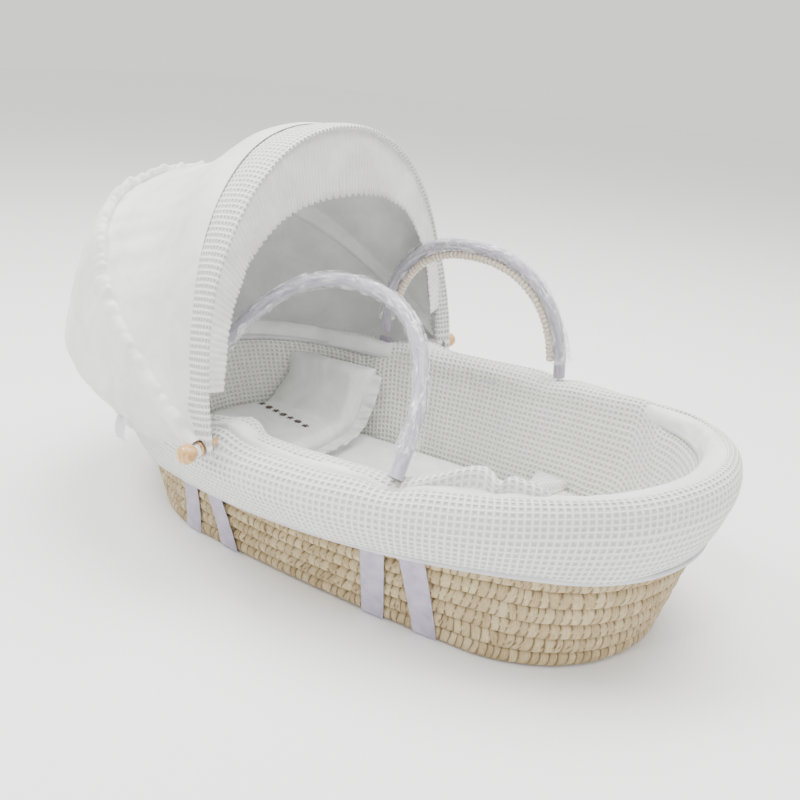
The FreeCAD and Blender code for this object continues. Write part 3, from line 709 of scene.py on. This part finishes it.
roll = around("waffle_skirt", roll_section, 320, 44, push=roll_give)
puff(roll, 3.0, 0.0035, 16)
rounded(roll)
dress(roll, waffle, "basket", ["rim_roll"])


def facing_section(x):
    return [(0.0140, 0.1705), (0.0290, 0.1700), (0.0444, 0.1705), (0.0446, 0.1895), (0.0360, 0.1905),
            (0.0250, 0.1890), (0.0155, 0.1820)]


def facing_give(point, u, v):
    pull = 0.0012 * wave(u * 150, v * 3) + 0.0014 * wave(u * 34, 5.0)
    return point + Vector((0, 0, pull + 0.009 * over_peg(point) - 0.006 * by_handle(point)))


facing = around("cotton_rim_facing", facing_section, 360, 26, push=facing_give)
puff(facing, 3.0, 0.003, 14)
rounded(facing)
dress(facing, cotton, "basket", ["rim_facing"])


def hem_section(x):
    return [skirt_corner(x, above, extra) for above, extra in (
        (0.0026, 0.0018), (0.0082, 0.0014), (0.0088, 0.0050), (0.0060, 0.0076), (0.0022, 0.0050))]


hem = around("skirt_hem_binding", hem_section, 320, 12)
dress(hem, hem_tape, "basket", ["skirt_hem"])

piping = around("rim_piping_cord", lambda x: [(0.0098, 0.1695), (0.0126, 0.1690), (0.0130, 0.1735),
                                              (0.0112, 0.1752), (0.0096, 0.1730)], 300, 10)
dress(piping, hem_tape, "basket", ["rim_piping"])


def bumper_inside(z):
    share = (z - 0.0163) / 0.1528
    return -0.01884 + share * 0.04904 - 0.010 - share * 0.007 - 0.002 * (1 - abs(2 * share - 1))


def ease(low, high, x):
    share = max(0.0, min(1.0, (x - low) / (high - low)))
    return share * share * (3 - 2 * share)


def bumper_section(x):
    """The liner rolls out over the rim along the sides and stays inside it at the foot and the head."""
    over = ease(-0.215, -0.150, x) * (1 - ease(0.262, 0.312, x))
    tucked = [(0.0298, 0.1672), (0.0262, 0.1690), (0.0205, 0.1696), (0.0150, 0.1682)]
    rolled = [(0.0415, 0.1850), (0.0375, 0.1945), (0.0240, 0.1965), (0.0130, 0.1860)]
    top = [tuple(a + (b - a) * over for a, b in zip(p, q)) for p, q in zip(tucked, rolled)]
    inner = [(bumper_inside(z), z) for z in (0.160, 0.140, 0.118, 0.096, 0.074, 0.050, 0.030, 0.0175)]
    return [(-0.0186, 0.0175), (0.0060, 0.0927)] + top + inner


def bumper_give(point, u, v):
    if v < 0.40:
        return point
    inwards = -Vector((point.x, point.y * 2.2, 0)).normalized()
    sway = 0.0026 * wave(u * 30, 2.0) + 0.0018 * wave(u * 75 + v * 6, 3.0)
    near_peg = over_peg(point)
    if point.y < 0 and point.z > 0.11:
        crumple = math.exp(-((point.x - 0.205) / 0.048) ** 2) * min(1.0, (point.z - 0.11) / 0.06)
        crease = 1 - 0.75 * math.exp(-((point.x - 0.222) / 0.0065) ** 2)
        point = point + (inwards * 0.012 + Vector((0, 0, 0.017))) * crumple * crease
    return (point + inwards * (sway * math.sin(math.pi * (v - 0.40) / 0.60) + 0.013 * near_peg)
            + Vector((0, 0, 0.004 * near_peg - 0.007 * by_handle(point))))


bumper = around("waffle_bumper", bumper_section, 300, 48, push=bumper_give)
puff(bumper, 3.0, 0.003, 14)
rounded(bumper)
dress(bumper, waffle_inside, "basket", ["side_bumper"])


# A dark grey line along the liner's edge round the foot end.
edge_line_height = 0.1692
edge_line_width = 0.0034


def edge_line_place(u, v):
    share = 0.428 + 0.144 * u
    x, y = plan(0.0128 + 0.0004 * wave(u * 60), share)
    return Vector((x, y, edge_line_height + edge_line_width * v + lift(x, edge_line_height)))


edge_line = cloth_piece("liner_edge_dark_line", 200, 3, edge_line_place, (0.30, edge_line_width))
thicken(edge_line, 0.0012)
dress(edge_line, edge_line_finish, "basket")

lug_names = ("near_head", "far_head", "near_foot", "far_foot")
for lug_name, (x, y, _) in zip(lug_names, handle_feet):
    low = 0.1712 + lift(x, roll_floor)

    def lug_place(u, v, x=x, y=y, low=low):
        return Vector((x + (u - 0.5) * 0.018, y, low + v * (0.1895 - low)))

    lug = cloth_piece("strap_lug_" + lug_name, 4, 6, lug_place, (0.018, 0.02))
    thicken(lug, 0.0036)
    dress(lug, tape_cloth, "basket", ["strap_lugs"])


# ---- bedding ----

def mattress_section(x):
    edge = -0.0320
    return [(-0.1775, 0.0575), (-0.120, 0.0574), (-0.070, 0.0566), (edge - 0.012, 0.0556),
            (edge - 0.001, 0.0500), (edge, 0.0370), (edge - 0.001, 0.0230), (edge - 0.010, 0.0168),
            (-0.100, 0.0166), (-0.1775, 0.0166)]


def mattress_give(point, u, v):
    if point.z < 0.05:
        return point
    return point + Vector((0, 0, 0.0016 * noise.noise(point * 14) + 0.0008 * noise.noise(point * 40)))


mattress = around("mattress_pad", mattress_section, 220, 60, closed=False, push=mattress_give)
rounded(mattress)
dress(mattress, cotton, "mattress", ["mattress_cover", "mattress_core"])


def climb(p):
    """The far side of the pillow stands up against the liner."""
    rise = 0.62 * max(0.0, p.z - 0.086)
    return Vector((p.x, p.y + 0.26 * rise, p.z + rise))


cushion = padding_from("head_pillow", "pillow", 0.0045)
move_points(cushion, lambda p, n: climb(p))
puff(cushion, 5.0, 0.006, 20)
move_points(cushion, lambda p, n: p + n * 0.0012 * noise.noise(p * 30) + n * 0.0009 * noise.noise(p * 75))
lay_weave(cushion, lambda p: (p.x, p.y + p.z))
rounded(cushion)
dress(cushion, cotton, "pillow", ["pillow"])

coverlet = padding_from("waffle_coverlet", "coverlet", 0.0045)
puff(coverlet, 4.0, 0.004, 16)
move_points(coverlet, lambda p, n: p + Vector((0, 0, 0.0022 * noise.noise(p * 16)
                                               + 0.0012 * noise.noise(p * 38))))
lay_weave(coverlet, lambda p: (p.x, p.y))
rounded(coverlet)
dress(coverlet, waffle_inside, "coverlet", ["coverlet"])

turnback = padding_from("coverlet_turnback", "coverlet_fold", 0.004)
puff(turnback, 9.0, 0.012, 22)
move_points(turnback, lambda p, n: p + Vector((0.006 * wave(p.y * 14, 4.0), 0, 0.003 * noise.noise(p * 34)
                                               + 0.0045 * max(0.0, wave(p.y * 11, 9.0)))))
lay_weave(turnback, lambda p: (p.x + p.z, p.y))
rounded(turnback)
dress(turnback, waffle_inside, "coverlet", ["coverlet_fold"])


# ---- hood ----

def hood_shape(lean):
    share = max(0.0, min(1.0, (lean - front_lean) / (mid_lean - front_lean)))
    return 0.254 + share * 0.0088, 0.323 + share * 0.043, 2.2 + share * 0.3


def arch_share(angle, squareness):
    """Across and up, as shares, on a squared arch; angle runs from 0 to pi."""
    across = math.copysign(abs(math.cos(angle)) ** (2 / squareness), math.cos(angle))
    return across, math.sin(angle) ** (2 / squareness)


def hood_frame_point(lean, half_width, across, height):
    """Point of an arch that leans about the pivots."""
    tilt = math.radians(lean)
    return pivot + Vector((height * math.sin(tilt), -half_width * across, height * math.cos(tilt)))


def forward_of(lean):
    """Direction in which an arch at this lean swings forward."""
    tilt = math.radians(lean)
    return Vector((math.cos(tilt), 0, -math.sin(tilt)))


def arch(stand_off, lean, turn, shape_lean=None):
    """Point of the hood's arch over the pivots; turn runs 0 to 180 degrees from near to far."""
    half_width, radius, squareness = hood_shape(lean if shape_lean is None else shape_lean)
    across, up = arch_share(math.radians(turn), squareness)
    return hood_frame_point(lean, half_width + stand_off, across, (radius + stand_off) * up)


narrow_below = 0.17


def hood_spot(stand_off, lean, spread, turn):
    """Point beside a bow: spread is in degrees of lean, and keeps its width near the pivots."""
    flat_way = Vector((pivot.x, 0, pivot.z)) - arch(0.0, lean, turn)
    height = math.hypot(flat_way.x, flat_way.z)
    if height > narrow_below:
        return arch(stand_off, lean + spread, turn, lean)
    return arch(stand_off, lean, turn, lean) + forward_of(lean) * math.radians(spread) * narrow_below


even_turns = [0.3, 1, 2, 3.5, 5, *range(7, 174, 2), 175, 176.5, 178, 179, 179.7]
arch_turns = smooth_line([(arch(0.0, front_lean, t).y, arch(0.0, front_lean, t).z, t / 1000)
                          for t in even_turns], steps=2)
band_section = smooth_line([(-5.3, 0.0050), (-5.6, 0.0078), (-3.0, 0.0100), (0.0, 0.0108), (3.0, 0.0102),
                            (5.4, 0.0080), (5.8, 0.0052), (4.6, 0.0034), (1.4, -0.0048), (0.0, -0.0060),
                            (-1.4, -0.0048), (-3.6, 0.0030)], closed=True)


def band_place(u, v):
    turn = arch_turns(u)[2] * 1000
    spread, stand_off = band_section(v)
    soft = 0.0010 * wave(u * 40, v * 3)
    spot = hood_spot(stand_off + soft, front_lean, spread * (1 + 0.03 * wave(u * 12, 6.0)), turn)
    return spot - Vector((0, 0, 0.012)) * max(0.0, 1 - min(u, 1 - u) / 0.02)


band = cloth_piece("waffle_hood_band", 210, 30, band_place, (0.965, 0.145))
rounded(band)
dress(band, waffle, "hood_front", ["front_band"])

frill_lean = front_lean + 4.1
pleats = 118


def frill_place(u, v):
    turn = 9 + 162 * u
    depth = 0.026 + 0.048 * math.sin(math.radians(turn)) ** 2
    half_width, radius, squareness = hood_shape(front_lean)
    angle = math.radians(turn)
    drop = v * (1 + 0.040 * abs(math.sin(math.pi * u * pleats / 2)))
    across, up = arch_share(angle, squareness)
    width = half_width + 0.004 - drop * 0.032
    height = (radius + 0.004 - drop * (depth + 0.004)) * up
    pleat = (0.0005 + 0.0010 * math.sin(angle)) * (0.45 + 0.55 * v)
    pleat *= math.sin(2 * math.pi * u * pleats + 1.4 * wave(u * 30, 2.0))
    forward = pleat + 0.0020 * wave(u * 24, 8.0) * v
    return hood_frame_point(frill_lean, width, across, height) + forward_of(frill_lean) * (forward + 0.001)


frill = cloth_piece("pleated_hood_frill", 944, 8, frill_place, (1.00, 0.058))
thicken(frill, 0.0006)
dress(frill, voile, "hood_front", ["front_frill"])

for bow in ("front_bow", "mid_bow"):
    keep_node(bow, steel)

panel_start = front_lean - 3.4
panel_end = mid_lean + 1.2


def panel_place(u, v):
    turn = arch_turns(u)[2] * 1000
    lean = panel_start + (panel_end - panel_start) * v
    high = math.sin(math.radians(turn))
    hang = max(0.0, (v - 0.075) / 0.925)
    sag = -0.029 * math.sin(math.pi * hang) ** 1.4 * high ** 0.9
    pull = 0.0060 * wave(turn * 0.10 + v * 1.2, 3.0) * math.sin(math.pi * v)
    pull += 0.0075 * wave(turn * 0.24, 5.0) * v ** 2 * (1 - v ** 8)
    return arch(0.0080 + sag + (pull * high ** 0.5), lean, turn)


panel = cloth_piece("hood_front_panel", 160, 44, panel_place, (0.965, 0.27))
thicken(panel, 0.0012, 0.0)
rounded(panel)
dress(panel, cotton, None, ["front_panel"])
tuple(arch(0, panel_end, 90))
tuple(arch(0, panel_start, 90))
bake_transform(panel)


def fan_weights(piece):
    """Lean of each of a hood panel's points about the pivots; it is worked out and not used."""
    places = points_of(piece) - np.array(pivot)
    lean = np.degrees(np.arctan2(places[:, 0], places[:, 2]))
    lean = np.where(lean > 90, -180.0, lean)


fan_weights(panel)

casing_section = smooth_line([(4.8, 0.0060), (5.0, 0.0100), (2.6, 0.0142), (-0.6, 0.0138), (-3.0, 0.0100),
                              (-3.2, 0.0052), (-1.2, -0.0046), (0.0, -0.0058), (1.2, -0.0046)], closed=True)


def casing_place(u, v):
    turn = arch_turns(u)[2] * 1000
    spread, stand_off = casing_section(v)
    gather = wave(u * 64, 1.5) + 0.5 * wave(u * 140, 2.5)
    forward = max(0.0, spread / 4.4)
    return hood_spot(stand_off + 0.0042 * gather * forward, mid_lean, spread + 2.2 * gather * forward, turn)


casing = cloth_piece("gathered_bow_casing", 420, 18, casing_place, (1.05, 0.095))
rounded(casing)
dress(casing, cotton, "hood_middle", ["bow_casing"])

rear_start = mid_lean - 1.4


def hem_point(turn, extra=0.0):
    """Where the elastic hem of the rear panel lies, outside the padded rim."""
    corner = 8 - min(turn, 180 - turn)
    if corner > 0:
        level = min(max(turn, 8), 172)
        foot = Vector((pivot.x - 0.004, math.copysign(side(0.0766 + extra, pivot.x), turn - 90), 0.181))
        return hem_point(level, extra).lerp(foot, corner / 7.7)
    middle_x = pivot.x - 0.045
    heading = math.radians(-81 + 162 * (turn - 8) / 164)
    _, xs, ys, _ = oval(0.0766 + extra)
    head = xs < middle_x
    angles = np.arctan2(ys[head], middle_x - xs[head])
    order = np.argsort(angles)
    x = float(np.interp(heading, angles[order], xs[head][order]))
    y = float(np.interp(heading, angles[order], ys[head][order]))
    return Vector((x, y, 0.176 - 0.060 * math.sin(math.radians(turn)) ** 0.9))


rear_lines = {}


def rear_place(u, v):
    turn = 90 - 89.7 * math.cos(math.pi * u)
    high = math.sin(math.radians(turn))
    key = round(u, 7)
    if key not in rear_lines:
        spots = [arch(0.0125, lean, turn, mid_lean)
                 for lean in (rear_start, -61.0, -68.0, -75.0, -82.0)]
        hem_spot = hem_point(turn, 0.001)
        spots.append(spots[-1] * 0.62 + hem_spot * 0.38 + Vector((-0.008 * high, 0, -0.006)))
        spots.append(hem_spot + Vector((0, 0, 0.010)))
        spots.append(hem_spot)
        rear_lines[key] = smooth_line([tuple(p) for p in spots])
    spot = Vector(rear_lines[key](v))
    outwards = (spot - Vector((-0.20, 0, 0.15))).normalized()
    gather = 0.0045 * wave(u * 64, 1.0) * v ** 4 + 0.0030 * wave(u * 130, 2.0) * v ** 6
    billow = 0.0050 * wave(turn * 0.055 + v * 2, 4.0) * math.sin(math.pi * v)
    billow += 0.0048 * wave(turn * 0.17 - v * 2.2, 11.0) * v * (1 - v ** 6)
    pucker = 0.0022 * wave(u * 90, 6.0) * (1 - v) ** 6
    return spot + outwards * (gather + billow + pucker) * min(1.0, 8 * high)


rear = cloth_piece("hood_rear_panel", 220, 44, rear_place, (1.02, 0.33))
thicken(rear, 0.0012, 0.0)
rounded(rear)
dress(rear, cotton, None, ["rear_panel"])
tuple(arch(0, -100, 90))
tuple(arch(0, rear_start, 90))
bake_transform(rear)
fan_weights(rear)


def hem_frill_place(u, v):
    turn = 90 - 89.7 * math.cos(math.pi * u)
    spot = hem_point(turn, 0.002)
    outwards = Vector((spot.x + 0.145, spot.y, 0)).normalized()
    ripple = 0.0030 * wave(u * 150, 3.0) * (0.4 + 0.6 * v)
    return spot + outwards * (ripple + 0.001) + Vector((0, 0, 0.004 - 0.013 * v))


hem_frill = cloth_piece("elastic_hem_frill", 480, 5, hem_frill_place, (1.1, 0.014))
thicken(hem_frill, 0.0014)
dress(hem_frill, cotton, "basket")


def label_place(u, v):
    spot = hem_point(44, 0.004)
    heading = math.atan2(spot.y, spot.x + 0.145) + 0.6
    outwards = Vector((math.cos(heading), math.sin(heading), 0))
    along = Vector((-math.sin(heading), math.cos(heading), 0))
    hang = Vector((0, 0, 0.003 + 0.031 * v))
    return spot + along * (u - 0.5) * 0.024 + outwards * 0.005 * math.sin(2.6 * v) - hang


label = cloth_piece("blank_satin_label", 6, 8, label_place, (0.024, 0.030))
thicken(label, 0.0007)
rounded(label)
dress(label, satin, "basket", ["care_label"])


# ---- pegs ----

def turned(name, sections, far):
    """A turned piece on the pivot line from (distance outwards, radius) corners."""
    bm = bmesh.new()
    line = [bm.verts.new((radius, out, 0)) for out, radius in sections]
    for a, b in zip(line, line[1:]):
        bm.edges.new((a, b))
    bmesh.ops.spin(bm, geom=bm.verts[:] + bm.edges[:], cent=(0, 0, 0), axis=(0, 1, 0), dvec=(0, 0, 0),
                   angle=2 * math.pi, steps=28, use_merge=True, use_duplicate=False)
    bmesh.ops.remove_doubles(bm, verts=bm.verts, dist=1e-5)
    for v in bm.verts:
        v.co = Vector((pivot.x + v.co.x, far * v.co.y, pivot.z + v.co.z))
    return piece_from(name, bm)


for name, far in (("near", -1), ("far", 1)):
    low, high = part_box("hood_peg_" + name)
    inner, outer = sorted((abs(low.y), abs(high.y)))
    knob = turned("turned_peg_" + name, [
        (inner, 0.0001), (inner, 0.0038), (outer - 0.026, 0.0038), (outer - 0.0235, 0.0042),
        (outer - 0.0215, 0.0072), (outer - 0.017, 0.0104), (outer - 0.011, 0.0116), (outer - 0.0055, 0.0106),
        (outer - 0.002, 0.0072), (outer - 0.0003, 0.0032), (outer, 0.0001)], far)
    rounded(knob)
    dress(knob, beech, "basket", ["hood_peg_" + name])
    for part, finish in (("peg_collar_", beech), ("peg_button_", cotton)):
        lay_weave(keep_node(part + name, finish), lambda p: (p.x, p.z))
    low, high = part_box("ribbon_tie_" + name)
    tie_y = (abs(low.y) + abs(high.y)) / 2

    def tie_place(u, v, tie_y=tie_y, far=far):
        angle = 2 * math.pi * u * 2
        r = 0.0062 + 0.0022 * u + 0.0008 * math.sin(angle * 1.5)
        y = tie_y + (v - 0.5) * 0.0070 + 0.0014 * math.sin(angle * 0.5)
        return Vector((pivot.x + r * math.cos(angle), far * y, pivot.z + r * math.sin(angle)))

    tie = cloth_piece("ribbon_tie_wound_" + name, 64, 4, tie_place, (0.085, 0.0055))
    thicken(tie, 0.0007)
    dress(tie, satin, "basket", ["ribbon_tie_" + name])


# ---- handles ----

def handle_line(far, rise, lean, shrink):
    """Centre line of a handle and its sideways direction."""
    tilt = math.radians(lean)
    up_way = Vector((0, -far * math.sin(tilt), math.cos(tilt)))
    spots = []
    for k in range(61):
        along, up = arch_share(math.pi * k / 60, handle_squareness)
        x = handle_middle_x - (handle_half_length - shrink) * along
        foot = Vector((x, far * handle_side_y, handle_foot_z))
        spots.append(tuple(foot + up_way * ((rise - shrink) * up)))
    return smooth_line(spots, steps=2), Vector((1, 0, 0)).cross(up_way)


def tube(name, line, sideways, radius, girth_steps, length_steps, span=(0.0, 1.0)):
    """A soft tube along a handle; radius(along, angle) gives its size."""
    def place(u, v):
        t = span[0] + (span[1] - span[0]) * v
        spot = Vector(line(t))
        ahead = (Vector(line(min(1.0, t + 0.004))) - Vector(line(max(0.0, t - 0.004)))).normalized()
        outer = ahead.cross(sideways).normalized()
        angle = 2 * math.pi * u
        r = radius(v, angle)
        return spot + sideways * r * math.cos(angle) + outer * r * math.sin(angle)

    length = sum((Vector(line(k / 60)) - Vector(line((k + 1) / 60))).length for k in range(60))
    return cloth_piece(name, girth_steps, length_steps, place, (0.054, length * (span[1] - span[0])))


far_rise, far_lean = 0.161, 6.0
wrap_inset = 0.0146
handles = (("near", -1, 0.197, 37.0), ("far", 1, far_rise, far_lean))
for name, far, rise, lean in handles:
    line, sideways = handle_line(far, rise, lean, 0.0)
    body = "handle_" + name
    lay_weave(keep_node("handle_core_" + name, cord_cotton), lambda p: (p.x, p.y + p.z))
    seed = 3.0 + far

    def sleeve_radius(v, a):
        slow = noise.noise(Vector((v * 26, math.cos(a), math.sin(a) + seed)))
        quick = noise.noise(Vector((v * 90, 2 * math.cos(a), 2 * math.sin(a))))
        return 0.0082 + 0.0005 * slow + 0.0004 * quick

    sleeve = tube("handle_sleeve_cloth_" + name, line, sideways, sleeve_radius, 18, 190, (0.004, 0.996))
    rounded(sleeve)
    dress(sleeve, handle_fabric, body, ["handle_sleeve_" + name])

    def film_radius(v, a):
        """Loose crinkled film, fuller where it is bunched."""
        bunch = noise.noise(Vector((v * 9, math.cos(a) + seed, math.sin(a))))
        crease = noise.noise(Vector((v * 60, 3 * math.cos(a), 3 * math.sin(a) + seed)))
        flare = max(0.0, 1 - min(v, 1 - v) / 0.14) ** 1.5
        return 0.0098 + 0.0030 * max(0.0, bunch) + 0.0016 * crease + 0.0045 * flare

    wrap_film = tube("handle_film_wrap_" + name, line, sideways, film_radius, 26, 260, (0.05, 0.95))
    dress(wrap_film, film, body, ["handle_film_" + name])

line, sideways = handle_line(1, far_rise, far_lean, wrap_inset)


def padding_radius(v, a):
    return 0.0058 + 0.0008 * math.sin(v * 300) + 0.0005 * noise.noise(Vector((v * 40, a, 1)))


padding = tube("handle_padding_far", line, sideways, padding_radius, 14, 240, (0.12, 0.95))
rounded(padding)
dress(padding, cream, "handle_far", ["handle_wrap_far"])


# ---- pillow frill and stitched motif ----

frill_path = smooth_line([(-0.340, -0.042, 0.070), (-0.260, -0.042, 0.070), (-0.175, -0.041, 0.070),
                          (-0.145, -0.036, 0.070), (-0.143, 0.000, 0.070), (-0.143, 0.060, 0.071),
                          (-0.144, 0.096, 0.076), (-0.146, 0.125, 0.098), (-0.148, 0.142, 0.125)])


def ruffle_place(u, v):
    spot = climb(Vector(frill_path(u)))
    ahead = (Vector(frill_path(min(1.0, u + 0.01))) - Vector(frill_path(max(0.0, u - 0.01)))).normalized()
    up = Vector((0, -0.5, 1)).normalized() if spot.y > 0.09 else Vector((0, 0, 1))
    outwards = ahead.cross(up).normalized()
    gather = wave(u * 46, 1.0) + 0.6 * wave(u * 95, 2.0)
    return (spot + outwards * (0.023 * v - 0.006 + 0.004 * gather * v)
            + up * (0.0105 * gather * v + 0.004 * v) + ahead * 0.005 * wave(u * 70, 5.0) * v)


ruffle = cloth_piece("pillow_ruffle", 330, 7, ruffle_place, (0.62, 0.021))
thicken(ruffle, 0.0006)
dress(ruffle, cotton, "pillow", ["pillow_frill"])

surface = BVHTree.FromPolygons([v.co for v in cushion.data.vertices],
                               [tuple(f.vertices) for f in cushion.data.polygons])
motif = bmesh.new()
motif_weave = motif.loops.layers.uv.new("weave")
for k in range(7):
    share = k / 6
    middle = Vector((-0.288 + 0.099 * share, 0.061 - 0.020 * share, 0))
    points = 10 if k % 2 == 0 else 12
    made = bmesh.ops.create_circle(motif, cap_ends=True, segments=points, radius=0.0062)["verts"]
    for i, v in enumerate(made):
        if i % 2:
            v.co *= 0.46 if k % 2 == 0 else 0.72
        v.co += middle
    top = motif.faces[:][-1]
    bmesh.ops.triangulate(motif, faces=[top])
bmesh.ops.subdivide_edges(motif, edges=motif.edges[:], cuts=1, use_grid_fill=True)
for v in motif.verts:
    hit = surface.ray_cast(Vector((v.co.x, v.co.y, 0.3)), Vector((0, 0, -1)))[0]
    v.co.z = (hit.z if hit else 0.081) + 0.0009
for face in motif.faces:
    for loop in face.loops:
        loop[motif_weave].uv = (loop.vert.co.x, loop.vert.co.y)
stars = piece_from("stitched_stars", motif)
thicken(stars, 0.0007)
dress(stars, thread_brown, "pillow")


# ---- studio ----

ground = bmesh.new()
bmesh.ops.create_grid(ground, x_segments=1, y_segments=1, size=9.0)
floor = piece_from("studio_floor", ground)
floor_finish, floor_tree, floor_skin = new_material("pale_studio_floor")
feed(floor_tree, floor_skin, {"Base Color": linear("#fbfbfb"), "Roughness": 0.9})
floor.data.materials.append(floor_finish)

world = bpy.data.worlds.new("studio_world")
bpy.context.scene.world = world
world.use_nodes = True
feed(world.node_tree, world.node_tree.nodes["Background"], {0: linear("#fbfaf7"), 1: 1.25})


def soft_lamp(name, place, target, size, power, colour="#ffffff"):
    data = bpy.data.lights.new(name, "AREA")
    data.shape = "DISK"
    data.size = size
    data.energy = power
    data.color = linear(colour)[:3]
    lamp = bpy.data.objects.new(name, data)
    bpy.context.scene.collection.objects.link(lamp)
    lamp.location = place
    lamp.rotation_euler = (Vector(target) - Vector(place)).to_track_quat("-Z", "Y").to_euler()


soft_lamp("key_lamp", (-1.3, -0.9, 2.3), (0, 0, 0.2), 1.2, 62)
soft_lamp("top_lamp", (0.2, 0.5, 2.6), (0, 0, 0.1), 2.0, 110)
soft_lamp("fill_lamp", (1.9, -1.2, 1.0), (0, 0, 0.15), 1.6, 7, "#f4f4ff")
soft_lamp("glint_lamp", (0.2, -1.6, 2.4), (0, 0, 0.3), 0.12, 9)
